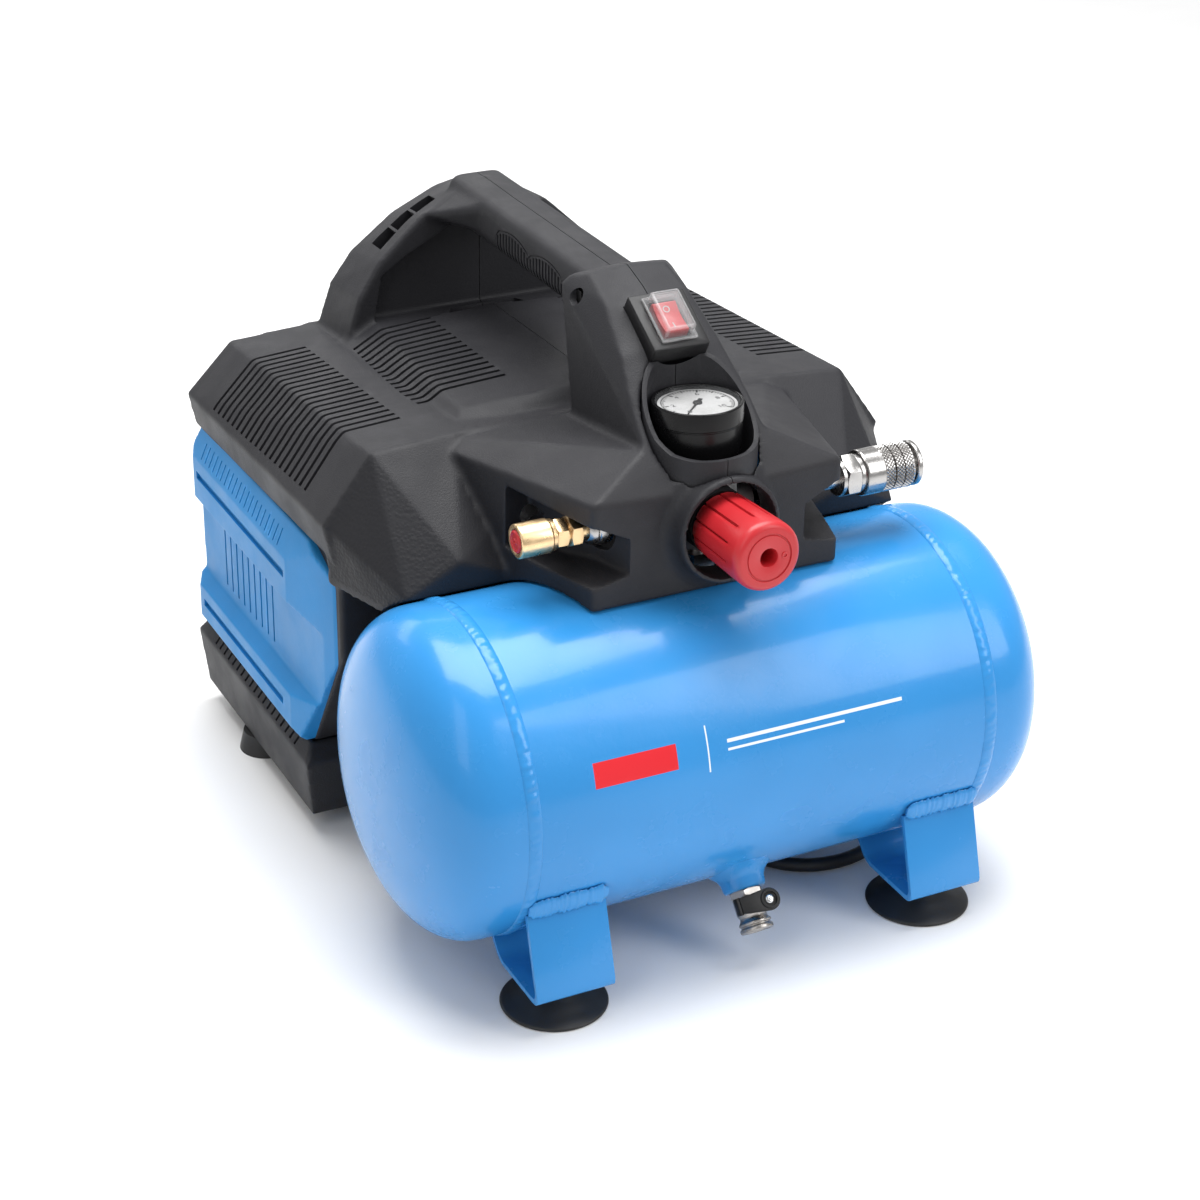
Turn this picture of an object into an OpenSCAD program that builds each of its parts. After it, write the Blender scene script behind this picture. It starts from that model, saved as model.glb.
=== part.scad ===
// Portable 6-litre air compressor: a lying tank in front, a motor and pump housing behind it,
// and a control console with regulator, gauge, switch, safety valve and quick coupler on top.
// Millimetres, +Z up, +X along the tank, -Y towards the user. The part stands on z = 0.
// In the modules y is measured from the tank's axis; shift_y then centres the part on its origin.

/* [Tank] */
// Outer radius of the tank
tank_r = 80; // [76:0.5:82]
// Distance from the tank's middle to each end seam
tank_half = 121; // [118:1:126]
// Depth of the dished part of each end
dish_depth = 40; // [34:1:44]
// Height of the tank's axis above the floor
axis_h = 101; // [99:0.5:104]
// Sheet thickness of tank and brackets
sheet_t = 2.5; // [2:0.25:3]

/* [Housing] */
// Half width of the shoulders at their widest line
shoulder_x = 154; // [152:1:158]
// Height of the shoulders' widest line
shoulder_z = 194; // [190:1:198]
// Height of the shoulders' flat top at the front
deck_z = 231; // [228:1:234]
// Wall thickness of the plastic housing
wall = 3; // [2.5:0.25:3.5]
// Pitch of the vent slots
slot_pitch = 6.7; // [6:0.1:8]

/* [Controls] */
// Height of the manifold's centre
manifold_z = 212; // [209:0.5:213]
// Backward lean of the manifold, in degrees
manifold_tilt = 2.6; // [0:0.2:4]
// Radius of the pressure gauge's case
gauge_r = 21.5; // [20:0.5:22]
// Radius of the regulator knob
knob_r = 17; // [15:0.5:18]

/* [Pump] */
// Radius of the cylinder bore
bore_r = 30; // [28:0.5:31]
// Crank throw, half of the stroke
throw = 9; // [8:0.5:9]
// Height of the crankshaft
crank_z = 100; // [99:0.5:101]

/* [Mains lead] */
// Diameter of the mains lead
cord_d = 7; // [6.5:0.5:7.5]

/* [Hidden] */
$fn = 64;
eps = 0.01;
fit = 0.05;
gap = 0.3;

// Overall depth, measured from the tank's axis
foot_y = -59;
foot_r = 26;
rear_y = 289;
shift_y = -(foot_y - foot_r + rear_y) / 2;

// Tank
flange = 9;
dish_power = 2.4;
weld_w = 7;
weld_h = 1.8;
bracket_x = 101;
bracket_w = 40;
plate_z = 19;

// Housing, as x, y and z of the main break lines of one half
front_y = 88;
body_x = 146;
body_z0 = 52;
cover_z1 = 172;
console_x = 65;
console_y = -21;
tray_z = 11;
cover_x = 156;
tower_x = 30;

// Controls
manifold_y = 1.2;
nipple_r = 7;
bay_x = 46;
cup_r = 27.2;
cup_y = 0.4;
collar_end = 34.5;
switch_y = 36.2;
switch_z = 288.7;
switch_tilt = 31;
drain_angle = 42;

// Pump and motor
motor_y = 185;
pump_x = 51;
pin_r = 10;
rod_len = 57;
cyl_z0 = 150;
cyl_z1 = 198;
shaft_r = 8;
stator_r = 52;
rotor_r = 30;

// Mains lead: where it leaves the tray, its route along the floor and its coil
cord_r = cord_d / 2;
cord_path = [
  [30, 101, 30], [30, 90, 29], [30, 78, 25], [30, 66, 18], [31, 54, 11], [32, 43, 6], [34, 32, 3.5],
  [38, 18, 3.5], [45, 4, 3.5], [55, -8, 3.5], [68, -15, 3.5], [83, -17, 3.5], [98, -14, 3.5],
  [112, -6, 3.5], [124, 6, 3.5], [134, 21, 3.5], [143, 38, 3.5], [152, 56, 3.5], [160, 75, 3.5],
  [166, 95, 3.5], [170, 116, 3.5], [172, 138, 3.5], [173, 161, 3.5], [173, 184, 3.5], [173, 207, 3.5],
  [172, 230, 3.5], [169, 253, 3.5], [165, 275, 3.5], [161, 296, 3.5], [157, 318, 3.5], [155, 340, 3.5]
];
coil_c = [106, 340];
coil_r = 38.5;

// ---------- helpers ----------

module at_tank() translate([0, shift_y, 0]) children();

module mirror_left(left) mirror([left ? 1 : 0, 0, 0]) children();

// Cylinders along an axis, from a lower to an upper coordinate
module rod_x(r, x0, x1) translate([x0, 0, 0]) rotate([0, 90, 0]) cylinder(r = r, h = x1 - x0);
module rod_z(r, z0, z1) translate([0, 0, z0]) cylinder(r = r, h = z1 - z0);
module tube_x(r, hole, x0, x1) difference() {
  rod_x(r, x0, x1);
  rod_x(hole, x0 - 1, x1 + 1);
}
module tube_z(r, hole, z0, z1) difference() {
  rod_z(r, z0, z1);
  rod_z(hole, z0 - 1, z1 + 1);
}
module hex_x(flats, x0, x1) translate([x0, 0, 0]) rotate([0, 90, 0])
  cylinder(r = flats / sqrt(3), h = x1 - x0, $fn = 6);
module hex_z(flats, z0, z1) translate([0, 0, z0]) cylinder(r = flats / sqrt(3), h = z1 - z0, $fn = 6);

// A prism of a y-z outline between two x, and of an x-z outline between two y
module prism_x(outline, x0, x1) translate([x0, 0, 0]) rotate([90, 0, 90])
  linear_extrude(x1 - x0) polygon(outline);
module prism_y(outline, y0, y1) translate([0, y1, 0]) rotate([90, 0, 0])
  linear_extrude(y1 - y0) polygon(outline);
module prism_z(outline, z0, z1) translate([0, 0, z0]) linear_extrude(z1 - z0) polygon(outline);
module block(x, y, z) translate([x[0], y[0], z[0]]) cube([x[1] - x[0], y[1] - y[0], z[1] - z[0]]);

// The convex solid through corner points
module corners(points) hull() for (p = points) translate(p) cube(eps, center = true);

// A bent sheet: a line of points thickened to its left by t, with mitred bends
function unit(v) = v / norm(v);
function left_of(v) = [-v[1], v[0]];
function bend_normals(p, i) = let (
    n1 = left_of(unit(p[max(i, 1)] - p[max(i, 1) - 1])),
    j = min(i, len(p) - 2),
    n2 = left_of(unit(p[j + 1] - p[j]))
  ) (n1 + n2) / (1 + n1 * n2);
function bent_sheet(p, t) = concat(p, [for (i = [len(p) - 1:-1:0]) p[i] + t * bend_normals(p, i)]);

// The tank's and the manifold's own frames
module on_axis() translate([0, 0, axis_h]) children();
module on_manifold() translate([0, manifold_y, manifold_z]) rotate([-manifold_tilt, 0, 0]) children();
module on_drain() on_axis() rotate([-drain_angle, 0, 0]) mirror([0, 0, 1]) children();
module on_crank() translate([0, motor_y, crank_z]) children();
module tank_space(clearance) on_axis() rod_x(tank_r + clearance, -tank_half - 60, tank_half + 60);

// ---------- tank ----------

function dish(r, depth, t) = [
  r * pow(sin(t), 2 / dish_power), flange + depth * pow(cos(t), 2 / dish_power)
];

module tank_end(left) {
  outer = [for (t = [90:-6:0]) dish(tank_r, dish_depth, t)];
  inner = [for (t = [0:6:90]) dish(tank_r - sheet_t, dish_depth - sheet_t, t)];
  color("dodgerblue") mirror_left(left) on_axis() translate([tank_half, 0, 0]) rotate([0, 90, 0])
    rotate_extrude() polygon(concat([[tank_r, 0]], outer, inner, [[tank_r - sheet_t, 0]]));
}
module tank_end_left() at_tank() tank_end(true);
module tank_end_right() at_tank() tank_end(false);

module tank_shell() color("dodgerblue") at_tank() difference() {
  on_axis() tube_x(tank_r, tank_r - sheet_t, -tank_half, tank_half);
  translate([0, manifold_y, 0]) rod_z(nipple_r, axis_h, axis_h + 90);
  on_drain() rod_z(6, 60, 90);
  translate([check_x, check_y, 0]) rod_z(nipple_r, axis_h, axis_h + 90);
}

// One rounded bead round each end seam
module tank_welds() color("dodgerblue") at_tank() on_axis() for (s = [-1, 1])
  translate([s * tank_half, 0, 0]) rotate([0, 90, 0]) rotate_extrude() polygon([
    [tank_r, -weld_w / 2], [tank_r, weld_w / 2], [tank_r + weld_h * 0.7, weld_w / 3],
    [tank_r + weld_h, 0], [tank_r + weld_h * 0.7, -weld_w / 3]
  ]);

// Room for the seam beads in the parts that lie over them
module weld_space() on_axis() for (s = [-1, 1])
  rod_x(tank_r + weld_h + 0.1, s * tank_half - weld_w / 2 - 0.1, s * tank_half + weld_w / 2 + 0.1);

// Channel bent from sheet, welded under the front of the tank
bracket_line = [[-33, 28.5], [-42, plate_z], [-81, plate_z], [-68.6, 59.5]];
module bracket(left) color("dodgerblue") mirror_left(left) difference() {
  prism_x(bent_sheet(bracket_line, sheet_t), bracket_x - bracket_w / 2, bracket_x + bracket_w / 2);
  tank_space(0);
  weld_space();
  translate([bracket_x, foot_y, 0]) rod_z(3.3, plate_z - sheet_t - 1, plate_z + 1);
}
module bracket_left() at_tank() bracket(true);
module bracket_right() at_tank() bracket(false);

// Rounded bead along the top of each bracket's front plate, up to the seam
weld_x0 = bracket_x - bracket_w / 2;
weld_x1 = tank_half - weld_w / 2 - 0.1;
module bracket_welds() color("dodgerblue") at_tank() for (s = [-1, 1]) prism_x(
  [[-71.9, 57.3], [-74.4, 60.3], [-75.4, 64.8], [-74.9, 70.2], [-73.6, 69.6], [-71.2, 63.3], [-71, 60.2]],
  s < 0 ? -weld_x1 : weld_x0, s < 0 ? -weld_x0 : weld_x1
);

// ---------- feet ----------

foot_top = plate_z - sheet_t;

module front_foot(left) color("#18181a") mirror_left(left) translate([bracket_x, foot_y, 0]) difference() {
  rotate_extrude() polygon([
    [0, 0], [foot_r - 0.5, 0], [foot_r, 0.6], [foot_r - 0.4, 2.2], [19, 5], [13, 8], [9.5, 11.5],
    [9, 13], [11, 15], [11, foot_top], [0, foot_top]
  ]);
  translate([0, 0, -1]) cylinder(r1 = 22.5, r2 = 8, h = 4.5);
  rod_z(3, 8, foot_top + 1);
}
module front_foot_left() at_tank() front_foot(true);
module front_foot_right() at_tank() front_foot(false);

// A threaded stud moulded into each front foot, with a washer and a nut above the bracket
module foot_bolts() color("silver") at_tank() for (s = [-1, 1]) translate([s * bracket_x, foot_y, 0]) {
  rod_z(3, 8, plate_z + 8);
  tube_z(6.5, 3, plate_z, plate_z + 1.2);
  difference() {
    hex_z(10, plate_z + 1.2, plate_z + 6);
    rod_z(3, 0, 60);
  }
}

module rear_feet() color("#18181a") at_tank() for (s = [-1, 1]) translate([s * 140, 222, 0])
  difference() {
    cylinder(r1 = 15, r2 = 12.5, h = tray_z);
    rod_z(7, -1, 3);
    rod_z(2.2, 2, tray_z + 1);
  }

// ---------- drain valve ----------

drain_top = 90;
stem_x = 5;
stem_z = 98;
module on_stem() on_drain() translate([stem_x, 0, stem_z]) rotate([90, 0, 0]) children();
module drain_boss() color("dodgerblue") at_tank() difference() {
  on_drain() {
    rod_z(10.5, 76, drain_top);
    rod_z(13, 76, 82);
  }
  tank_space(0);
  on_drain() rod_z(5.02, 70, drain_top + 1);
}
// Body with a lug for the plug's stem, an inlet spigot and a flared outlet
module drain_body() color("#8c8c8e") at_tank() difference() {
  union() {
    on_drain() {
      rod_z(5, 82, drain_top);
      hex_z(15, drain_top, 93);
      rod_z(7.5, 93, 103);
      translate([0, 0, 103]) cylinder(r1 = 6.6, r2 = 8.2, h = 3);
      rod_z(7.4, 106, 107);
      rod_z(8.2, 107, 110.5);
    }
    on_stem() rod_z(4.8, -6, 9.6);
  }
  on_stem() rod_z(3.4 + fit, -4, 10);
  on_drain() {
    rod_z(3, 80, 92);
    translate([0, 0, 91]) rod_x(1.5, 0, stem_x);
    translate([stem_x, 0, 0]) rod_z(1.5, 91, 106);
    rod_z(6, 105, 112);
  }
}
// Turning plug with its cross hole
module drain_plug() color("silver") at_tank() difference() {
  on_stem() rod_z(3.4, -3.5, 10.6);
  on_drain() translate([stem_x, 0, 0]) rotate([0, 90, 0]) translate([-stem_z, 0, 0]) rod_z(1.5, -5, 5);
}
// Lever with a round end over the stem, a screw in it and a turned-in tip
module drain_lever() color("#1c1c1e") at_tank() on_stem() difference() {
  union() {
    rod_z(5.5, 10.6, 13);
    block([-17, 0], [-4.7, 4.7], [10.6, 13]);
    block([-17, -15], [-4.2, 4.2], [8.8, 10.7]);
    rod_z(3.2, 13, 13.8);
  }
  rod_z(1.6, 13.2, 14);
}

// ---------- manifold, regulator and knob ----------

module riser_nipple() color("silver") at_tank() translate([0, manifold_y, 0]) difference() {
  union() {
    rod_z(nipple_r, 176, 202);
    hex_z(19, 184, 191);
  }
  rod_z(4, 170, 210);
}

// Cross-shaped body: riser below, gauge above, safety valve left, coupler right, regulator in front
module regulator_body() color("#3a3a3d") at_tank() difference() {
  union() {
    on_manifold() {
      translate([0, 4, 0]) cube([34, 24, 22], center = true);
      rod_z(9, 10, 22);
      rotate([90, 0, 0]) cylinder(r = 16, h = 12);
    }
    translate([0, manifold_y, manifold_z]) rod_x(9, -26, 26);
    translate([0, manifold_y, 0]) rod_z(10.5, 194, 206);
  }
  translate([0, manifold_y, 0]) rod_z(nipple_r, 190, 202);
  translate([0, manifold_y, manifold_z]) rod_x(5, -27, 27);
  on_manifold() rod_z(4, 0, 24);
  on_manifold() rotate([90, 0, 0]) translate([0, 0, 6]) cylinder(r = 12, h = 8);
}
module regulator_bonnet() color("#26262a") at_tank() on_manifold() rotate([90, 0, 0]) difference() {
  union() {
    rod_z(16, 12, 24);
    rod_z(11.5, 24, 46);
  }
  rod_z(9, 11, 40);
  rod_z(3.5, 36, 47);
}
module regulator_spring() color("silver") at_tank() on_manifold() rotate([90, 0, 0])
  for (i = [0:5]) translate([0, 0, 9 + i * 4]) rotate_extrude() translate([7, 0]) circle(r = 1.2, $fn = 16);

knob_end = 68.5;
// Fluted cap that turns on the bonnet; its screw presses on the spring
module regulator_knob() color("red") at_tank() on_manifold() rotate([90, 0, 0]) difference() {
  union() {
    rod_z(knob_r, 26, knob_end - 3);
    translate([0, 0, knob_end - 3]) cylinder(r1 = knob_r, r2 = knob_r - 2, h = 3);
  }
  rod_z(11.5 + fit, 25, 50);
  rod_z(3, 46, knob_end + 1);
  for (i = [0:11]) rotate([0, 0, i * 30]) translate([knob_r + 0.4, 0, 24])
    cylinder(r = 1.2, h = knob_end - 36, $fn = 16);
}

// ---------- gauge ----------

gauge_z0 = 27;
gauge_h = 26;
gauge_top = gauge_z0 + gauge_h;
module gauge_case() color("#1b1b1d") at_tank() on_manifold() difference() {
  union() {
    rod_z(4, 12, gauge_z0);
    hex_z(12, 22.2, gauge_z0);
    rod_z(gauge_r, gauge_z0, gauge_top);
  }
  rod_z(18.8, gauge_top - 3, gauge_top + 1);
  rod_z(19.9, gauge_top - 1.1, gauge_top + 1);
  rod_z(1.5, 10, gauge_top - 2);
}
module gauge_dial() color("white") at_tank() on_manifold()
  tube_z(18.6, 1.5, gauge_top - 3, gauge_top - 2);
module gauge_needle() color("#151515") at_tank() on_manifold() translate([0, 0, gauge_top]) {
  rod_z(1.3, -6, -1.2);
  rotate([0, 0, 225]) translate([-0.6, -5, -1.8]) cube([1.2, 20, 0.5]);
}
module gauge_lens() color([0.85, 0.9, 0.95, 0.35]) at_tank() on_manifold()
  rod_z(19.7, gauge_top - 1, gauge_top + 0.2);

// Open cup that lines the round pocket; its rim follows the console's slope
module gauge_cup() color("#202022") at_tank() difference() {
  intersection() {
    translate([0, cup_y, 0]) rod_z(cup_r, 224, 284);
    corners([for (x = [-40, 40], p = [[-40, 200], [-40, 245], [-12, 245], [31, 284], [31, 200]])
      [x, p[0], p[1]]]);
  }
  translate([0, cup_y, 0]) rod_z(cup_r - 2, 227, 290);
  on_manifold() rod_z(9.5, 0, 30);
  on_manifold() rotate([90, 0, 0]) {
    rod_z(knob_r + 0.8, -2, 50);
    rod_z(23.6, 5, 50);
  }
  on_switch() block([-14.8, 14.8], [-16.7, 16.7], [-12.1, 8]);
}

// ---------- safety valve and coupler ----------

module safety_valve_body() color("goldenrod") at_tank() translate([0, manifold_y, manifold_z]) difference() {
  union() {
    rod_x(5, -61, -26);
    hex_x(14, -68, -62);
    rod_x(5.5, -69, -59);
    hex_x(13, -75, -69);
    rod_x(8.2, -93.4, -75);
    rod_x(8.7, -59, -47);
  }
  rod_x(3, -66, -25);
  rod_x(5.5, -94, -66);
}
// Pull stem with its red end disc
module safety_valve_stem() color("firebrick") at_tank() translate([0, manifold_y, manifold_z]) {
  rod_x(5.5 - fit, -94.2, -91.6);
  rod_x(1.8, -92, -67);
  rod_x(4.8, -67.5, -66);
}

module coupler_body() color("silver") at_tank() translate([0, manifold_y, manifold_z]) difference() {
  union() {
    rod_x(5, 26, 76);
    rod_x(8.6, 34, 46);
    rod_x(9.2, 75.5, 77.5);
    hex_x(19, 77.5, 85.4);
    rod_x(9.6, 85.4, 92);
    rod_x(7.6, 92, 117);
    rod_x(11.2, 116.3, 119.4);
  }
  rod_x(3.5, 25, 98);
  rod_x(5.4, 97, 121);
}
// Knurled sleeve that slides back to release a plug
module coupler_sleeve() color("silver") at_tank() translate([0, manifold_y, manifold_z]) difference() {
  rod_x(11.4, 88.2, 114.3);
  rod_x(7.6 + fit, 87, 115);
  rod_x(9.75, 87, 96);
  for (i = [0:23]) rotate([i * 15, 0, 0]) translate([98, 0, 11.7]) rotate([0, 90, 0])
    cylinder(r = 0.7, h = 14, $fn = 12);
}

// ---------- pressure side inside the housing ----------

check_x = -34;
check_y = 52;
pipe_z = 209;
module pressure_switch() color("#2b2b2e") at_tank() difference() {
  union() {
    block([-19, 19], [30, 64], [196, 232]);
    translate([0, manifold_y + 16.3, 207]) rotate([-90, 0, 0]) cylinder(r = 5, h = 14);
  }
  block([-14, 14], [34, 60], [214, 233]);
}
module check_valve() color("goldenrod") at_tank() translate([check_x, check_y, 0]) difference() {
  union() {
    rod_z(nipple_r, 154, 172);
    hex_z(17, 172, 180);
    rod_z(6, 180, 184);
  }
  rod_z(2.5, 150, 185);
}
// Bent pipe from the head's outlet forward to the check valve
module delivery_tube() color("#b9bcc0") at_tank() {
  pipe_r = 3.5;
  bend_r = 10;
  translate([check_x, check_y, 0]) rod_z(pipe_r, 184, pipe_z - bend_r);
  translate([check_x, check_y + bend_r, pipe_z - bend_r]) rotate([90, 0, -90])
    rotate_extrude(angle = 90) translate([bend_r, 0]) circle(r = pipe_r);
  translate([check_x, check_y + bend_r, pipe_z]) rotate([-90, 0, 0])
    cylinder(r = pipe_r, h = motor_y - check_y - 2 * bend_r);
  translate([check_x + bend_r, motor_y - bend_r, pipe_z]) rotate([0, 0, 90])
    rotate_extrude(angle = 90) translate([bend_r, 0]) circle(r = pipe_r);
  translate([0, motor_y, pipe_z]) rod_x(pipe_r, check_x + bend_r, pump_x - 36);
}

// ---------- housing ----------

// Main body between the end covers: a y-z outline set in by t
function body_outline(t) = [
  [131 + t, body_z0 - (t > 0 ? 1 : 0)], [284 - t, body_z0 - (t > 0 ? 1 : 0)], [rear_y - t, 120],
  [rear_y - t, 176], [front_y + t, 176], [front_y + t, 120]
];

// Sloping shoulders: an x-z outline at the front and, lower, at the rear
module shoulders(t) corners([
  for (s = [0, 1], p = [[0, deck_z], [86, deck_z], [129, deck_z - 3], [shoulder_x, shoulder_z],
    [shoulder_x - 4, 175], [0, 175]])
    [max(p[0] - t, 0), s == 0 ? front_y - 2 + t : rear_y - 3 - t,
      p[1] - (p[1] > 180 ? t : 0) - s * (p[1] > 200 ? 15 : 7)]
]);

// Raised middle that carries the inner vents
module plateau(t) corners([
  for (p = [[0, 104, 237], [30, 104, 236], [73, 108, 233], [83, 104, 226], [0, 92, 228], [80, 92, 227],
    [0, 246, 233], [40, 246, 231], [64, 246, 229], [80, 246, 220], [0, 246, 200], [80, 104, 200]])
    [max(p[0] - t, 0), p[1] < 150 ? p[1] + t : p[1] - t, p[2] > 210 ? p[2] - t : p[2]]
]);

// Flank running down from the shoulder's front edge to the top of the tank
module flank(t) corners([
  for (p = [[70, 100, 228], [86, 86, 231], [129, 86, 228], [152, 89, 194], [133, 36, 174],
    [106, 35, 189], [92, 80, 225], [60, 60, 200], [60, 36, 170], [133, 36, 160], [150, 95, 160],
    [70, 100, 160]])
    [p[0] - t, p[1] + t, p[2] - t]
]);

// Console over the tank, with a bevelled front
module console(t) corners([
  for (p = [[0, console_y, 170], [0, console_y, 230], [0, -5, 248.5], [tower_x + 2, -5, 248.5],
    [console_x, console_y, 170], [console_x, console_y, 233], [92, 80, 225], [92, 100, 225],
    [92, 100, 170], [80, 30, 170], [30, 72, 234], [0, 72, 238], [0, 100, 170]])
    [max(p[0] - t, 0), p[1] > 90 ? p[1] + t : p[1] + t, p[2] > 180 ? p[2] - t : p[2] - 5]
]);

// Tower that carries the switch and the front of the handle
module tower(t) corners([
  for (p = [[20, 76, 306], [26, 86, 302], [22, 57, 298], [24, 42, 288], [26, 30, 280], [30, 11, 263],
    [tower_x + 2, -5, 248.5], [tower_x + 2, -5, 236], [tower_x, 88, 298], [tower_x, 73, 236],
    [0, 88, 303], [0, 77, 307], [0, 60, 301], [0, 28, 284], [0, -5, 248.5], [0, -5, 236], [0, 73, 236]])
    [max(p[0] - t, 0), p[1] > 70 ? p[1] - t : p[1] + t, p[2] > 240 ? p[2] - t : p[2] - 10]
]);

// Rear hood: an arch that carries the back of the handle and leans down to the rear
hood_line = [[0, 300], [10, 298], [36, 284], [60, 262], [72, 243], [80, 216], [0, 216]];
module hood(t) corners([
  for (p = hood_line, s = [0, 1])
    [max(p[0] - t, 0), s == 0 ? 240 + t : 283 - t, p[1] - t - s * (p[1] - 216) * 0.17]
]);

// Handle bar with rounded edges, from tower to hood
module handle(t) translate([0, 0, 0]) prism_y([
  for (c = [[-1, 1], [-1, -1], [1, -1], [1, 1]], a = [0:15:90])
    let (start = c == [1, 1] ? 0 : c == [-1, 1] ? 90 : c == [-1, -1] ? 180 : 270, rr = 8 - t)
    [c[0] * 8 + rr * cos(start + a), 288 + c[1] * 4 + rr * sin(start + a)]
], 70 + t, 250);

// Recess in each side of the console, open to the side and to the front
bay_line = [[bay_x, 195], [bay_x, 213], [62, 221], [125, 224], [125, 187], [60, 192]];
module bay(t) intersection() {
  prism_y([for (p = bay_line) [p[0] - (p[0] < 50 ? t : 0), p[1] + (p[1] > 200 ? t : -t)]], -41, 60);
  prism_z([[bay_x - t, -41], [bay_x - t, -21], [51.5 - t, 3], [60 - t, 20 + t / 2], [66 - t, 44 + t],
    [88 + t / 2, 36.5 + t], [96, 33 + t], [125, 33 + t], [125, -41]], 170, 240);
}

// The hollow inside one half
module housing_hollow() difference() {
  union() {
    prism_x(body_outline(wall), -1, body_x - wall);
    shoulders(wall);
    plateau(wall);
    console(wall);
    tower(wall);
    block([-1, 13], [80, 255], [282, 294]);
    prism_y([[-1, 180], [75, 180], [66, 240], [54, 256], [32, 274], [-1, 284]], 252, 279);
  }
  bay(wall);
}

module vent_slots() {
  slot_w = 2.6;
  for (i = [0:19]) translate([0, 121 + i * slot_pitch, -i * slot_pitch * 0.069]) prism_y(
    [[99.5, 220], [131, 217], [148, 197], [153, 201], [133, 234], [99.5, 236]], -slot_w / 2, slot_w / 2
  );
  for (i = [0:15]) translate([0, 134 + i * slot_pitch, 0]) prism_y(
    [[37, 227], [66, 224], [81 - i * 0.2, 219], [84, 228], [75 - i * 0.6, 238], [37, 240]],
    -slot_w / 2, slot_w / 2
  );
}

module housing_half() difference() {
  union() {
    prism_x(body_outline(0), 0, body_x);
    shoulders(0);
    plateau(0);
    flank(0);
    console(0);
    tower(0);
    intersection() {
      handle(0);
      block([0, 40], [60, 260], [270, 310]);
    }
    hood(0);
    intersection() {
      on_manifold() rotate([90, 0, 0]) rod_z(26, 8, collar_end);
      block([0, 40], [-60, 0], [170, 260]);
    }
  }
  housing_hollow();
  bay(0);
  tank_space(1);
  weld_space();
  block([-10, 0], [-100, 320], [20, 330]);
  block([body_x, 170], [80, 300], [40, cover_z1]);
  vent_slots();
  // openings for the end cover, the knob, the gauge cup, the switch and the nipples
  block([body_x - 4, body_x + 1], [138, 274], [62, 164]);
  on_manifold() rotate([90, 0, 0]) rod_z(23.5, 5, 40);
  translate([0, cup_y, 0]) rod_z(cup_r + 0.5, 223.5, 300);
  on_switch() {
    block([-11, 11], [-14.5, 14.5], [-12, 8]);
    block([-14.8, 14.8], [-16.7, 16.7], [-4.1, 8]);
  }
  translate([0, manifold_y, manifold_z]) rod_x(12, 30, 66);
  translate([67, 56, 203]) rotate([90, 0, 0]) rod_z(5, 0, 22);
  // vent in the hood: three cells
  for (i = [0:2]) translate([28 + i * 10.5, 258, 284 - i * 8.5]) rotate([0, 39, 0])
    cube([12.3, 15, 24], center = true);
  // screw holes in the tower and in the flank
  translate([0, 76, 294]) rod_x(4, 20, 40);
  translate([0, 88, 167]) rod_x(4, 120, 160);
  // cut for the strain relief
  translate([30, 120, 30]) rotate([90, 0, 0]) cylinder(r = 6, h = 40);
}
module housing_left() color("#3b3b3e") at_tank() mirror_left(true) housing_half();
module housing_right() color("#3b3b3e") at_tank() housing_half();

// Tray under the motor, with a slotted bevel round its top
module tray_solid(t) corners([
  for (s = [-1, 1], p = [[150, 126, tray_z], [150, 287, tray_z], [154, 122, 44], [154, 289, 44],
    [148, 130, body_z0], [148, 285, body_z0]])
    [s * (p[0] - t), p[1] > 200 ? p[1] - t : p[1] + t, p[2] < 20 ? p[2] + t : p[2]]
]);
module base_tray() color("#303033") at_tank() difference() {
  tray_solid(0);
  difference() {
    tray_solid(wall);
    // four posts carry the motor's rubber mounts
    for (x = [-60, 30], y = [motor_y - 35, motor_y + 35]) translate([x, y, 0]) rod_z(7, 0, 44);
  }
  block([-143, 143], [136, 281], [49, 53]);
  for (s = [-1, 1], i = [0:18]) translate([s * 152.5, 143 + i * slot_pitch, 49]) rotate([0, s * 45, 0])
    cube([3, 2.4, 9], center = true);
  translate([30, 132, 30]) rotate([90, 0, 0]) cylinder(r = 6, h = 14);
  for (s = [-1, 1]) translate([s * 140, 222, 0]) rod_z(2.2, 10, 20);
}

// End cover: two raised bands with a sunk, slotted panel between them
cover_line = [
  [body_x, body_z0 + 1], [150, body_z0 + 1], [cover_x, 58], [cover_x, 79], [149, 84], [149, 126],
  [cover_x, 131], [cover_x, 155], [149, 171], [body_x, 171]
];
cover_side = [
  [132, body_z0], [284, body_z0], [286, 140], [278, cover_z1], [122, cover_z1], [92, 160], [91, 118]
];
module end_cover(left) color("dodgerblue") mirror_left(left) difference() {
  intersection() {
    prism_y(cover_line, 80, 300);
    prism_x(cover_side, 140, 160);
    prism_z([[140, 80], [148, 95], [cover_x, 137], [cover_x, 276], [150, 288], [140, 288]], 40, 180);
  }
  block([body_x - 1, 153.5], [142, 272], [134, 156]);
  block([body_x - 1, 153.5], [146, 272], [61, 76]);
  block([154.6, 160], [141, 271], [143, 148]);
  block([154.6, 160], [148, 271], [66, 71]);
  for (i = [0:8]) block([140, 160], [176 + i * 9, 178 + i * 9], [88, 122]);
  for (i = [0:19]) translate([154.5, 150 + i * 6, 160]) rotate([0, -24, 0]) cube([3, 1, 7], center = true);
}
module end_cover_left() at_tank() end_cover(true);
module end_cover_right() at_tank() end_cover(false);

module housing_screws() color("silver") at_tank() for (s = [-1, 1]) mirror([s < 0 ? 1 : 0, 0, 0]) {
  translate([0, 76, 294]) rod_x(3.6, 21, 26);
  translate([0, 88, 167]) rod_x(3.6, 132, 138);
  translate([140, 222, 0]) rod_z(4, 0.8, 3);
  translate([140, 222, 0]) rod_z(2, 3, 20);
}

// ---------- switch ----------

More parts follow.
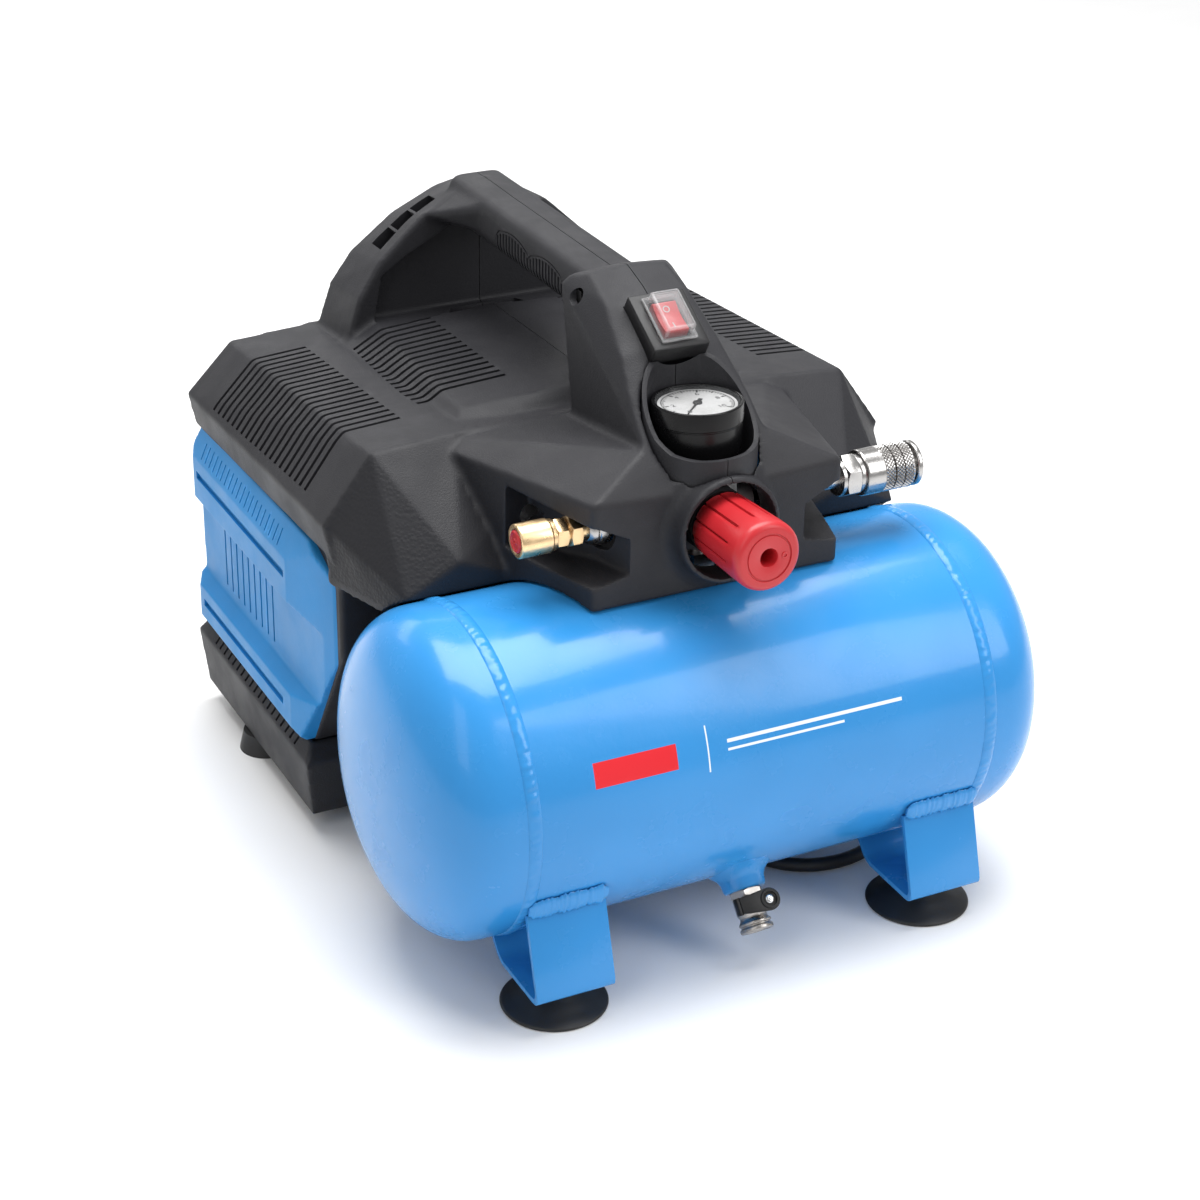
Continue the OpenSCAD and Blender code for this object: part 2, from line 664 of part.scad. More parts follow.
module on_switch() translate([0, switch_y, switch_z]) rotate([switch_tilt, 0, 0]) children();
module switch_frame() color("#161618") at_tank() on_switch() {
  difference() {
    union() {
      block([-14.7, 14.7], [-16.6, 16.6], [-4, 6]);
      block([-10.6, 10.6], [-14, 14], [-12, 0]);
    }
    block([-7.2, 7.2], [-10.4, 10.4], [-9, 7]);
  }
  switch_pins();
}
module switch_pins() translate([0, 0, -1]) for (s = [-1, 1]) rod_x(2 - fit, s * 6.3 - 1.3, s * 6.3 + 1.3);
module switch_rocker() color("red") at_tank() on_switch() difference() {
  intersection() {
    prism_x([[-9.2, 1], [-8.9, 8.6], [0, 6.8], [8.9, 8.6], [9.2, 1], [4.5, -4], [-4.5, -4]], -6.2, 6.2);
    rod_x(10.4, -8, 8);
  }
  translate([0, 0, -1]) rod_x(2, -8, 8);
}
// Clear splash boot over the rocker
module switch_boot() color([0.9, 0.9, 0.9, 0.4]) at_tank() on_switch() difference() {
  union() {
    block([-9.4, 9.4], [-13.4, 13.4], [6, 7.6]);
    block([-7.6, 7.6], [-11.5, 11.5], [7.6, 14]);
  }
  block([-6.8, 6.8], [-10.7, 10.7], [5, 13]);
}

// ---------- motor and pump ----------

module motor_stator() color("#8a8d90") at_tank() on_crank() difference() {
  union() {
    rod_x(stator_r, -72, -16);
    tube_x(46, rotor_r + 4, -84, -4);
  }
  rod_x(rotor_r + 0.4, -90, 0);
}
// Open end frame that holds the rear bearing
module motor_end_bell() color("#a9acaf") at_tank() on_crank() difference() {
  union() {
    tube_x(stator_r, 48, -90, -72);
    rod_x(stator_r, -93, -88);
    rod_x(17, -102, -88);
  }
  rod_x(13, -102.1, -92);
  rod_x(10, -93, -87);
  for (a = [0:60:300]) rotate([a, 0, 0]) translate([0, 33, 0]) rod_x(8, -94, -87);
}
module motor_rotor() color("#77797c") at_tank() on_crank() tube_x(rotor_r, shaft_r, -72, -16);
module motor_shaft() color("silver") at_tank() on_crank() rod_x(shaft_r, -128, 36);
module shaft_bearings() color("silver") at_tank() on_crank() for (x = [-102, 6])
  tube_x(13, shaft_r + fit, x, x + 10);
module motor_fan() color("#2a2a2c") at_tank() on_crank() {
  tube_x(16, shaft_r, -126, -110);
  tube_x(54, 51, -122, -112);
  for (a = [0:45:315]) rotate([a, 0, 0]) translate([-118, 0, 33.4]) rotate([0, 0, 35])
    cube([2, 16, 35.6], center = true);
}

// Cast housing round the crank, with a bearing seat, a deck for the cylinder and four legs
module crankcase() color("#9a9da0") at_tank() difference() {
  union() {
    on_crank() rod_x(46, 4, 82);
    translate([pump_x, motor_y, 0]) block([-38, 38], [-38, 38], [crank_z, cyl_z0]);
    on_crank() difference() {
      rod_x(stator_r + 4, -16, 6);
      rod_x(stator_r + 0.2, -17, 0);
    }
    difference() {
      on_crank() {
        block([-66, 36], [-41, 41], [-52, -43]);
        for (x = [-60, 30], y = [-35, 35]) translate([x, y, 0]) rod_z(6, -56, -34);
      }
      on_crank() rod_x(stator_r + 1, -95, -3.5);
    }
  }
  on_crank() rod_x(40, 18, 83);
  on_crank() rod_x(13, 6, 19);
  on_crank() rod_x(10, -17, 19);
  translate([pump_x, motor_y, 0]) rod_z(31.5, crank_z, cyl_z0 + 1);
}
module crank_eccentric() color("#6d7073") at_tank() on_crank() difference() {
  union() {
    rod_x(20, 24, 40);
    translate([0, 0, -throw]) rod_x(pin_r, 40, 58);
    intersection() {
      rod_x(34, 24, 38);
      block([20, 60], [-34, 34], [6, 40]);
    }
  }
  rod_x(shaft_r, 20, 36);
}
module rod_bearing() color("silver") at_tank() on_crank() translate([0, 0, -throw])
  tube_x(16, pin_r + fit, 45, 57);
module connecting_rod() color("#b4b7ba") at_tank() on_crank() translate([0, 0, -throw]) difference() {
  union() {
    rod_x(21, 46, 56);
    translate([0, 0, rod_len]) rod_x(8, 46, 56);
    block([47, 55], [-6, 6], [10, rod_len]);
  }
  rod_x(16 + fit, 45, 57);
  translate([0, 0, rod_len]) rod_x(4, 45, 57);
}

wrist_z = crank_z - throw + rod_len;
crown_z = wrist_z + 8 + 2 * throw + 1;
// Hollow piston with two pin stubs that reach in from its bosses to each side of the rod's eye
module piston() color("#c9ccce") at_tank() translate([pump_x, motor_y, 0]) {
  difference() {
    rod_z(bore_r, wrist_z - 10, crown_z + 4);
    rod_z(bore_r - 3, wrist_z - 11, crown_z);
  }
  for (s = [-1, 1]) mirror([s < 0 ? 1 : 0, 0, 0]) translate([0, 0, wrist_z]) {
    rod_x(3.8, 6, 12);
    rod_x(7, 11, bore_r - 3.5);
  }
}
module cylinder_fins() for (z = [156:7:191]) rod_z(44, z, z + 2);
module pump_cylinder() color("#a3a6a9") at_tank() translate([pump_x, motor_y, 0]) difference() {
  union() {
    rod_z(36, cyl_z0, cyl_z1);
    cylinder_fins();
  }
  rod_z(bore_r + fit, cyl_z0 - 1, cyl_z1 + 1);
}
module valve_plate() color("silver") at_tank() translate([pump_x, motor_y, 0]) difference() {
  block([-36, 36], [-36, 36], [cyl_z1, cyl_z1 + 4]);
  for (s = [-1, 1]) translate([s * 14, 0, 0]) rod_z(4, cyl_z1 - 1, cyl_z1 + 5);
}
head_z = cyl_z1 + 4;
module cylinder_head() color("#a3a6a9") at_tank() translate([pump_x, motor_y, 0]) difference() {
  block([-36, 36], [-36, 36], [head_z, head_z + 14]);
  block([-32, -2], [-32, 32], [head_z - 1, head_z + 10.5]);
  block([2, 32], [-32, 32], [head_z - 1, head_z + 10.5]);
  for (y = [-32:8:32]) block([-39, 39], [y - 2, y + 2], [head_z + 12, head_z + 15]);
  translate([0, 0, pipe_z]) rod_x(3.5, -39, -30);
  translate([0, 0, 207]) rod_x(4.5, 30, 39);
}
module intake_filter() color("#202022") at_tank() translate([pump_x, motor_y, 207]) difference() {
  union() {
    rod_x(4.5, 31, 42);
    rod_x(9, 42, 60);
  }
  rod_x(3, 30, 58);
}

// ---------- mains lead ----------

// Tapered sleeve in the tray's front wall
module strain_relief() color("#151517") at_tank() translate([30, 136, 30]) rotate([90, 0, 0]) difference() {
  union() {
    rod_z(5.9, 0, 12);
    rod_z(8, 4, 8);
    translate([0, 0, 12]) cylinder(r1 = 5.9, r2 = 4.6, h = 23);
  }
  rod_z(cord_r, 33, 36);
}

sides = 10;
function ring_frame(p, i) = unit(p[min(i + 1, len(p) - 1)] - p[max(i - 1, 0)]);
function ring(p, i) = let (
    d = ring_frame(p, i),
    side = unit(cross(d, [0, 0, 1])),
    up = cross(side, d)
  ) [for (k = [0:sides - 1]) p[i] + cord_r * (cos(360 * k / sides) * side + sin(360 * k / sides) * up)];
module power_cord() color("#151517") at_tank() {
  n = len(cord_path);
  polyhedron(
    points = [for (i = [0:n - 1]) each ring(cord_path, i)],
    faces = concat(
      [[for (k = [0:sides - 1]) k]],
      [for (i = [0:n - 2], k = [0:sides - 1]) let (a = i * sides, b = (k + 1) % sides)
        [a + k, a + sides + k, a + sides + b, a + b]],
      [[for (k = [sides - 1:-1:0]) (n - 1) * sides + k]]
    )
  );
}
module cord_coil() color("#151517") at_tank() translate([coil_c[0], coil_c[1], 0]) rotate_extrude()
  polygon([[coil_r - 7, 0], [coil_r + 7, 0], [coil_r + 7, 21], [coil_r - 7, 21]]);

// Two-pin mains plug lying beside the coil
plug_x = 48;
plug_y = 362;
module plug() color("#151517") at_tank() translate([plug_x, plug_y, 0]) {
  difference() {
    block([-34, 0], [-15, 15], [0, 22]);
    translate([-1, 0, 11]) rod_x(cord_r, 0, 2);
  }
  for (s = [-1, 1]) translate([0, s * 9.5, 11]) rod_x(2.4, -53, -33);
}

// ---------- assembly ----------

tank_shell();
tank_end_left();
tank_end_right();
tank_welds();
bracket_left();
bracket_right();
bracket_welds();
front_foot_left();
front_foot_right();
foot_bolts();
rear_feet();
drain_boss();
drain_body();
drain_plug();
drain_lever();
riser_nipple();
regulator_body();
regulator_bonnet();
regulator_spring();
regulator_knob();
gauge_case();
gauge_dial();
gauge_needle();
gauge_lens();
gauge_cup();
safety_valve_body();
safety_valve_stem();
coupler_body();
coupler_sleeve();
pressure_switch();
check_valve();
delivery_tube();
housing_left();
housing_right();
base_tray();
end_cover_left();
end_cover_right();
switch_frame();
switch_rocker();
switch_boot();
housing_screws();
motor_stator();
motor_end_bell();
motor_rotor();
motor_shaft();
shaft_bearings();
motor_fan();
crankcase();
crank_eccentric();
rod_bearing();
connecting_rod();
piston();
pump_cylinder();
valve_plate();
cylinder_head();
intake_filter();
strain_relief();
power_cord();
cord_coil();
plug();
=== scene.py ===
from math import cos, degrees, hypot, pi, radians, sin, sqrt

import bmesh
import bpy
from mathutils import Matrix, Vector, noise


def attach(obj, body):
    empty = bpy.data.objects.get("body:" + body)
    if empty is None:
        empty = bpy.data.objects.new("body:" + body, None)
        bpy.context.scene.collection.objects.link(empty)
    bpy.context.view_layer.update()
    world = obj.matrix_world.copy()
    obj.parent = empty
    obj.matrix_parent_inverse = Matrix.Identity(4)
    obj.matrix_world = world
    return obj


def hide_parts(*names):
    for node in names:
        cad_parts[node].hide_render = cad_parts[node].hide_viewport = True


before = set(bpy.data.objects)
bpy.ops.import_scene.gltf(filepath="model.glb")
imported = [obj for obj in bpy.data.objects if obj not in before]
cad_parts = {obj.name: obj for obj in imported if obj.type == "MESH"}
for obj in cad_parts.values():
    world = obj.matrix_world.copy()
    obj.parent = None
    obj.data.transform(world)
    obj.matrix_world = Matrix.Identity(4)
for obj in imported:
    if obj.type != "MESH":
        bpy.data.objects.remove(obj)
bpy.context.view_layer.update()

MM = 0.001
SHIFT_Y = -102.0  # the design's y is measured from the tank's axis


# ---------- frames and small helpers ----------
def pt(x, y, z):
    return Vector((x * MM, (y + SHIFT_Y) * MM, z * MM))


def rot(deg, axis):
    return Matrix.Rotation(radians(deg), 4, axis)


def rot_x(deg):
    return rot(deg, "X")


def rot_y(deg):
    return rot(deg, "Y")


def rot_z(deg):
    return rot(deg, "Z")


def move(x, y, z):
    return Matrix.Translation((x * MM, y * MM, z * MM))


def at(x, y, z):
    return Matrix.Translation(pt(x, y, z))


AXIS_Z = 101.0  # the height of the tank's axis
TANK_R, HALF = 80.0, 121.0  # the tank's radius and half the length of its straight part
SIDES = ((-1, "left"), (1, "right"))
CENTRE = at(0, 1.2, 212)  # where the knob's, gauge's and outlets' axes meet
MANIFOLD = CENTRE @ rot_x(-2.6)
KNOB_AXIS = MANIFOLD @ rot_x(90)
CROSS_X = CENTRE @ rot_y(90)
DRAIN = at(0, 0, AXIS_Z) @ rot_x(-42) @ Matrix.Scale(-1, 4, (0, 0, 1))
SWITCH = at(0, 36.2, 288.7) @ rot_x(31)
PIVOT = SWITCH @ move(0, 0, -1) @ rot_y(90)
CUP_AXIS = at(0, 0.4, 0)
TANK_AXIS = at(0, 0, AXIS_Z) @ rot_y(90)


def as_object(name, data):
    o = bpy.data.objects.new(name, data)
    bpy.context.scene.collection.objects.link(o)
    return o


def from_bmesh(bm):
    me = bpy.data.meshes.new("solid")
    bm.to_mesh(me)
    bm.free()
    return as_object("solid", me)


def new_object(verts, faces, matrix=None, smooth=True):
    me = bpy.data.meshes.new("solid")
    me.from_pydata([tuple(Vector(v) * MM) for v in verts], [], faces)
    bm = bmesh.new()
    bm.from_mesh(me)
    if matrix is not None:
        bm.transform(matrix)
    bmesh.ops.recalc_face_normals(bm, faces=bm.faces)
    bm.to_mesh(me)
    bm.free()
    if smooth:
        me.shade_smooth()
        me.set_sharp_from_angle(angle=radians(38))
    return as_object("solid", me)


def hull(points):
    """The convex solid through points of the design, as an object."""
    bm = bmesh.new()
    for p in points:
        bm.verts.new(pt(*p))
    bmesh.ops.remove_doubles(bm, verts=bm.verts, dist=1e-5)
    got = bmesh.ops.convex_hull(bm, input=bm.verts)
    loose = {g for g in got["geom_interior"] + got["geom_unused"] if isinstance(g, bmesh.types.BMVert)}
    bmesh.ops.delete(bm, geom=list(loose), context="VERTS")
    bmesh.ops.recalc_face_normals(bm, faces=bm.faces)
    return from_bmesh(bm)


def swept(outline, lo, hi, axis):
    """Corners and faces of an outline of two coordinates, swept along the third, X, Y or Z."""
    def place(p, h):
        return {"X": (h, p[0], p[1]), "Y": (p[0], h, p[1]), "Z": (p[0], p[1], h)}[axis]

    n = len(outline)
    faces = [tuple(range(n)), tuple(range(2 * n - 1, n - 1, -1))]
    faces += [(i, (i + 1) % n, n + (i + 1) % n, n + i) for i in range(n)]
    return [place(p, h) for h in (lo, hi) for p in outline], faces


def prism(outline, lo, hi, axis):
    """An outline swept along an axis of the design."""
    verts, faces = swept(outline, lo, hi, axis)
    return new_object([(x, y + SHIFT_Y, z) for x, y, z in verts], faces, smooth=False)


def slab(outline, lo, hi, matrix, axis="Z"):
    """An outline swept along an axis of another frame."""
    verts, faces = swept(outline, lo, hi, axis)
    return new_object(verts, faces, matrix, smooth=False)


def block(x, y, z, matrix=None):
    verts = [(a, b, c) for a in x for b in y for c in z]
    faces = [(0, 1, 3, 2), (4, 6, 7, 5), (0, 4, 5, 1), (2, 3, 7, 6), (0, 2, 6, 4), (1, 5, 7, 3)]
    if matrix is None:
        verts = [(a, b + SHIFT_Y, c) for a, b, c in verts]
    return new_object(verts, faces, matrix, smooth=False)


def hexagon(flats, lo, hi, matrix, chamfer=0.9):
    """A hexagon bar whose corners are turned off at both ends, like a nut."""
    r = flats / sqrt(3)
    bar = lathe([(r, lo), (r, hi)], matrix, 6, smooth=False)
    past, fall = r + 0.02, 0.62 * chamfer
    turned = lathe([(r - chamfer, lo), (past, lo + fall), (past, hi - fall), (r - chamfer, hi)], matrix, 96)
    return boolean(bar, turned, "INTERSECT")


def lathe(profile, matrix, seg=96, closed=False, radius_of=None, smooth=True):
    """Turns a profile of (radius, height) about a frame's Z.

    radius_of(radius, height, angle, corner) may vary the radius round the turn.
    """
    rings = []
    verts = []
    for k, (r, h) in enumerate(profile):
        ring = []
        if r < 1e-6:
            verts.append((0, 0, h))
            ring = [len(verts) - 1] * seg
        else:
            for i in range(seg):
                a = 2 * pi * i / seg
                rr = radius_of(r, h, a, k) if radius_of else r
                verts.append((rr * cos(a), rr * sin(a), h))
                ring.append(len(verts) - 1)
        rings.append(ring)
    faces = []
    order = list(range(len(rings))) + ([0] if closed else [])
    for a, b in zip(order, order[1:]):
        for i in range(seg):
            j = (i + 1) % seg
            f = [rings[a][i], rings[a][j], rings[b][j], rings[b][i]]
            f = [v for k, v in enumerate(f) if v != f[k - 1]]
            if len(f) > 2:
                faces.append(tuple(f))
    if not closed:
        for k in (0, -1):
            if profile[k][0] > 1e-6:
                faces.append(tuple(rings[k]))
    return new_object(verts, faces, matrix, smooth)


def cyl(r, lo, hi, matrix, seg=48):
    return lathe([(r, lo), (r, hi)], matrix, seg, smooth=False)


def rounded(profile, radius, steps=5, closed=True):
    """Rounds the corners of an outline. radius is one number, or one for each corner."""
    out = []
    n = len(profile)
    for i, p in enumerate(profile):
        r = radius[i] if isinstance(radius, (list, tuple)) else radius
        if not closed and i in (0, n - 1) or r <= 0:
            out.append(tuple(p))
            continue
        a, b, c = Vector(profile[i - 1]), Vector(p), Vector(profile[(i + 1) % n])
        u, v = (a - b), (c - b)
        cut = min(r, 0.45 * u.length, 0.45 * v.length)
        s, e = b + u.normalized() * cut, b + v.normalized() * cut
        for k in range(steps + 1):
            t = k / steps
            out.append(tuple((1 - t) ** 2 * s + 2 * t * (1 - t) * b + t * t * e))
    return out


def shown_mesh(o):
    """A mesh of the object as it shows: curves, text and modifiers worked out."""
    return bpy.data.meshes.new_from_object(o.evaluated_get(bpy.context.evaluated_depsgraph_get()))


def modified(o, kind, **settings):
    """Sets one modifier and applies it."""
    m = o.modifiers.new(kind, kind)
    for k, v in settings.items():
        setattr(m, k, v)
    me = shown_mesh(o)
    o.modifiers.clear()
    old = o.data
    o.data = me
    bpy.data.meshes.remove(old)
    return o


def drop(o):
    me = o.data
    bpy.data.objects.remove(o)
    if me.users == 0:
        bpy.data.meshes.remove(me)


def joined(objects):
    bm = bmesh.new()
    for o in objects:
        bm.from_mesh(o.data)
        drop(o)
    return from_bmesh(bm)


def mirrored_copy(o):
    bm = bmesh.new()
    bm.from_mesh(o.data)
    bmesh.ops.scale(bm, vec=(-1, 1, 1), verts=bm.verts)
    bmesh.ops.reverse_faces(bm, faces=bm.faces)
    return from_bmesh(bm)


def boolean(o, cutters, operation="DIFFERENCE"):
    for c in cutters if isinstance(cutters, (list, tuple)) else [cutters]:
        modified(o, "BOOLEAN", operation=operation, solver="MANIFOLD", object=c)
        drop(c)
    return o


def melt(o, voxel):
    """Melts overlapping solids into one."""
    return modified(o, "REMESH", mode="VOXEL", voxel_size=voxel * MM, adaptivity=0)


def soften(o, voxel, passes, keep):
    """Melts overlapping solids into one with softly rounded edges, keeping a share of its faces."""
    melt(o, voxel)
    modified(o, "SMOOTH", factor=0.5, iterations=passes)
    return modified(o, "DECIMATE", ratio=keep)


def shade(o, angle):
    o.data.shade_smooth()
    o.data.set_sharp_from_angle(angle=radians(angle))
    return o


def bevel(o, width, segments=2, angle=35):
    """Rounds the edges sharper than an angle."""
    return modified(o, "BEVEL", width=width * MM, segments=segments, limit_method="ANGLE",
        angle_limit=radians(angle), harden_normals=False)


# ---------- camera ----------
AROUND, ABOVE, ROLL, DISTANCE = radians(27.12), radians(27.166), radians(1.058), 1296.9
back = Vector((-sin(AROUND) * cos(ABOVE), -cos(AROUND) * cos(ABOVE), sin(ABOVE)))
right = Vector((cos(AROUND), -sin(AROUND), 0))
up = back.cross(right)
across = cos(ROLL) * right + sin(ROLL) * up
upward = -sin(ROLL) * right + cos(ROLL) * up
spot = pt(0, 0, AXIS_Z) + MM * (back * DISTANCE + right * -44.81 + up * 54.09)
cam = as_object("camera", bpy.data.cameras.new("camera"))
cam.data.sensor_width = 36
cam.data.lens = 79.9
cam.data.clip_start = 0.05
cam.matrix_world = Matrix.Translation(spot) @ Matrix((across, upward, back)).transposed().to_4x4()
bpy.context.scene.camera = cam


# ---------- mains lead ----------
CORD_R = 3.5
CORD_D = 2 * CORD_R
route = [
    (30, 101, 30), (30, 90, 29), (30, 78, 25), (30, 66, 18), (31, 54, 11), (32, 43, 6),
] + [(x, y, CORD_R) for x, y in [
    (34, 32), (38, 18), (45, 4), (55, -8), (68, -15), (83, -17), (98, -14), (112, -6), (124, 6),
    (134, 21), (143, 38), (152, 56), (160, 75), (166, 95), (170, 116), (172, 138), (173, 161),
    (173, 184), (173, 207), (172, 230), (169, 253), (165, 275), (161, 296), (157, 318), (155, 340),
]]
COIL = (106, 340)
COIL_R = 42


def smooth_step(t):
    t = min(max(t, 0), 1)
    return t * t * (3 - 2 * t)


def catmull(points, steps):
    out = []
    p = [Vector(q) for q in points]
    p = [2 * p[0] - p[1]] + p + [2 * p[-1] - p[-2]]
    for i in range(1, len(p) - 2):
        for k in range(steps):
            t = k / steps
            out.append(0.5 * (2 * p[i] + (p[i + 1] - p[i - 1]) * t
                + (2 * p[i - 1] - 5 * p[i] + 4 * p[i + 1] - p[i + 2]) * t * t
                + (3 * p[i] - p[i - 1] - 3 * p[i + 1] + p[i + 2]) * t ** 3))
    out.append(p[-2])
    return out


def coil_point(turn):
    """Radius and height of the coil after so many turns: two rings, two above them, then one on top."""
    lane, t = int(turn), turn - int(turn)
    start = pi / 2 * smooth_step(t / 0.3)
    end = pi / 2 * smooth_step((t - 0.7) / 0.3)
    inner = COIL_R - CORD_D
    if lane == 0:
        return COIL_R + CORD_D * cos(start), CORD_R
    if lane == 1:
        return inner + CORD_D * cos(start), CORD_R
    if lane == 2:
        return inner + CORD_D * (1 - cos(end)), CORD_R + CORD_D * sin(start)
    if lane == 3:
        return COIL_R, CORD_R + CORD_D + CORD_D * sin(end)
    return COIL_R, CORD_R + 2 * CORD_D


line = catmull(route, 6)[:-1]
TURNS = 4.3
steps = int(TURNS * 72)
for i in range(steps + 1):
    turn = TURNS * i / steps
    r, z = coil_point(turn)
    a = 2 * pi * turn
    line.append(Vector((COIL[0] + r * cos(a), COIL[1] + r * sin(a), z)))
tail = line[-1]
way = (line[-1] - line[-2]).normalized()
PLUG_X, PLUG_Y, PLUG_Z = 48, 362, 11  # where the lead enters the plug
goal = Vector((PLUG_X, PLUG_Y, PLUG_Z))
for i in range(1, 25):
    t = i / 24
    line.append((1 - t) ** 3 * tail + 3 * t * (1 - t) ** 2 * (tail + 20 * way)
        + 3 * t * t * (1 - t) * (goal + Vector((16, 0, 0))) + t ** 3 * goal)
curve = bpy.data.curves.new("mains_lead", "CURVE")
curve.dimensions = "3D"
curve.bevel_depth = CORD_R * MM
curve.bevel_resolution = 5
curve.use_fill_caps = True
spline = curve.splines.new("POLY")
spline.points.add(len(line) - 1)
for q, p in zip(spline.points, line):
    q.co = (*pt(*p), 1)
tube = as_object("tube", curve)
lead = as_object("mains_lead", shown_mesh(tube))
bpy.data.objects.remove(tube)


# ---------- materials ----------
class Nodes:
    """A small wrapper for building node materials."""

    def __init__(self, name):
        self.m = bpy.data.materials.new(name)
        self.m.use_nodes = True
        self.t = self.m.node_tree
        self.t.nodes.clear()
        self.out = self.add("ShaderNodeOutputMaterial")
        self.b = self.add("ShaderNodeBsdfPrincipled")
        self.link(self.b.outputs[0], self.out.inputs[0])
        self.place = self.add("ShaderNodeTexCoord").outputs["Object"]

    def add(self, kind, **values):
        n = self.t.nodes.new(kind)
        for k, v in values.items():
            setattr(n, k, v)
        return n

    def link(self, a, b):
        self.t.links.new(a, b)

    def put(self, socket, value):
        if isinstance(value, bpy.types.NodeSocket):
            self.link(value, socket)
        else:
            socket.default_value = value

    def noise(self, scale, detail=3.0, rough=0.55, stretch=None):
        n = self.add("ShaderNodeTexNoise")
        n.inputs["Scale"].default_value = scale
        n.inputs["Detail"].default_value = detail
        n.inputs["Roughness"].default_value = rough
        self.link(self.stretched(stretch), n.inputs["Vector"])
        return n.outputs["Fac"]

    def cells(self, scale, feature="F1", stretch=None):
        n = self.add("ShaderNodeTexVoronoi", feature=feature)
        n.inputs["Scale"].default_value = scale
        self.link(self.stretched(stretch), n.inputs["Vector"])
        return n.outputs["Distance"]

    def stretched(self, by):
        if by is None:
            return self.place
        n = self.add("ShaderNodeMapping")
        n.inputs["Scale"].default_value = by
        self.link(self.place, n.inputs["Vector"])
        return n.outputs[0]

    def range(self, value, a, b, lo, hi):
        n = self.add("ShaderNodeMapRange", interpolation_type="SMOOTHSTEP")
        for k, v in (("From Min", a), ("From Max", b), ("To Min", lo), ("To Max", hi)):
            n.inputs[k].default_value = v
        self.put(n.inputs["Value"], value)
        return n.outputs[0]

    def math(self, op, *values):
        n = self.add("ShaderNodeMath", operation=op)
        for s, v in zip(n.inputs, values):
            self.put(s, v)
        return n.outputs[0]

    def mix(self, fac, a, b):
        n = self.add("ShaderNodeMix", data_type="RGBA")
        self.put(n.inputs[0], fac)
        for s, v in ((n.inputs[6], a), (n.inputs[7], b)):
            self.put(s, (*v, 1) if isinstance(v, (tuple, list)) and len(v) == 3 else v)
        return n.outputs[2]

    def bump(self, height, strength, distance, under=None):
        n = self.add("ShaderNodeBump")
        n.inputs["Strength"].default_value = strength
        n.inputs["Distance"].default_value = distance
        self.link(height, n.inputs["Height"])
        if under is not None:
            self.link(under, n.inputs["Normal"])
        return n.outputs[0]

    def axis(self, k):
        n = self.add("ShaderNodeSeparateXYZ")
        self.link(self.place, n.inputs[0])
        return n.outputs[k]

    def set(self, **values):
        names = {"color": "Base Color", "rough": "Roughness", "metal": "Metallic", "normal": "Normal",
            "coat": "Coat Weight", "coat_rough": "Coat Roughness", "specular": "Specular IOR Level",
            "glass": "Transmission Weight", "ior": "IOR", "alpha": "Alpha"}
        for k, v in values.items():
            if isinstance(v, tuple) and len(v) == 3:
                v = (*v, 1)
            self.put(self.b.inputs[names[k]], v)
        return self.m


def paint(name, base, dark, coat=0.22, peel=0.10):
    """Gloss paint: faint orange peel, slow colour drift, dust that dulls the gloss a little."""
    n = Nodes(name)
    drift = n.range(n.noise(9, 2), 0.35, 0.68, 0, 1)
    dust = n.noise(420, 4)
    n.set(color=n.mix(drift, base, dark), rough=n.range(n.noise(38, 5), 0.35, 0.7, 0.2, 0.3),
          coat=coat, coat_rough=0.09, specular=0.28,
          normal=n.bump(n.noise(260, 2), peel, 0.0006, n.bump(dust, 0.02, 0.0003)))
    return n


def moulded(name, base, grain=1500, depth=0.25, rough=(0.42, 0.58), worn=0.35, specular=0.5):
    """Moulded plastic: spark-eroded grain, slow gloss changes and slightly paler, rubbed edges."""
    n = Nodes(name)
    edge = n.add("ShaderNodeNewGeometry").outputs["Pointiness"]
    rub = n.math("MULTIPLY", n.range(edge, 0.52, 0.60, 0, worn), n.range(n.noise(60, 4), 0.3, 0.7, 0.4, 1))
    pale = tuple(min(1, c * 1.7 + 0.03) for c in base)
    soft = tuple(c * 0.86 for c in base)
    n.set(color=n.mix(rub, n.mix(n.range(n.noise(14, 4), 0.3, 0.7, 0, 1), base, soft), pale),
          rough=n.range(n.noise(45, 4), 0.3, 0.7, *rough), specular=specular,
          normal=n.bump(n.noise(grain, 2, 0.7), depth, 0.00035))
    return n


def metal(name, base, rough=(0.2, 0.34), brush=None, depth=0.08, scale=700):
    n = Nodes(name)
    marks = n.noise(scale, 3, 0.6, brush)
    stain = n.range(n.noise(55, 4), 0.4, 0.75, 0, 0.5)
    n.set(color=n.mix(stain, base, tuple(c * 0.72 for c in base)), metal=1.0,
          rough=n.range(n.noise(120, 4), 0.3, 0.7, *rough), normal=n.bump(marks, depth, 0.0003))
    return n


BLUE, BLUE_DARK = (0.034, 0.262, 0.625), (0.029, 0.238, 0.575)
tank_paint = paint("tank_blue", BLUE, BLUE_DARK)
cover_blue = moulded("cover_blue", (0.022, 0.235, 0.56), grain=900, depth=0.16, rough=(0.38, 0.48),
    worn=0.22, specular=0.22)
black_housing = moulded("housing_black", (0.023, 0.023, 0.0265), grain=1150, depth=0.5, rough=(0.46, 0.58),
    worn=0.35, specular=0.27)
gauge_black = moulded("gauge_black", (0.005, 0.005, 0.0055), grain=600, depth=0.03, rough=(0.22, 0.3),
    worn=0.03, specular=0.22)
black_satin = moulded("black_satin", (0.008, 0.008, 0.009), grain=1600, depth=0.12, rough=(0.34, 0.45),
    worn=0.2, specular=0.3)
rubber = moulded("rubber_black", (0.013, 0.013, 0.014), grain=900, depth=0.1, rough=(0.42, 0.6), worn=0.15)
red_plastic = moulded("red_plastic", (0.53, 0.019, 0.026), grain=1100, depth=0.08, rough=(0.3, 0.4),
    worn=0.12)
zinc = metal("zinc", (0.63, 0.64, 0.65))
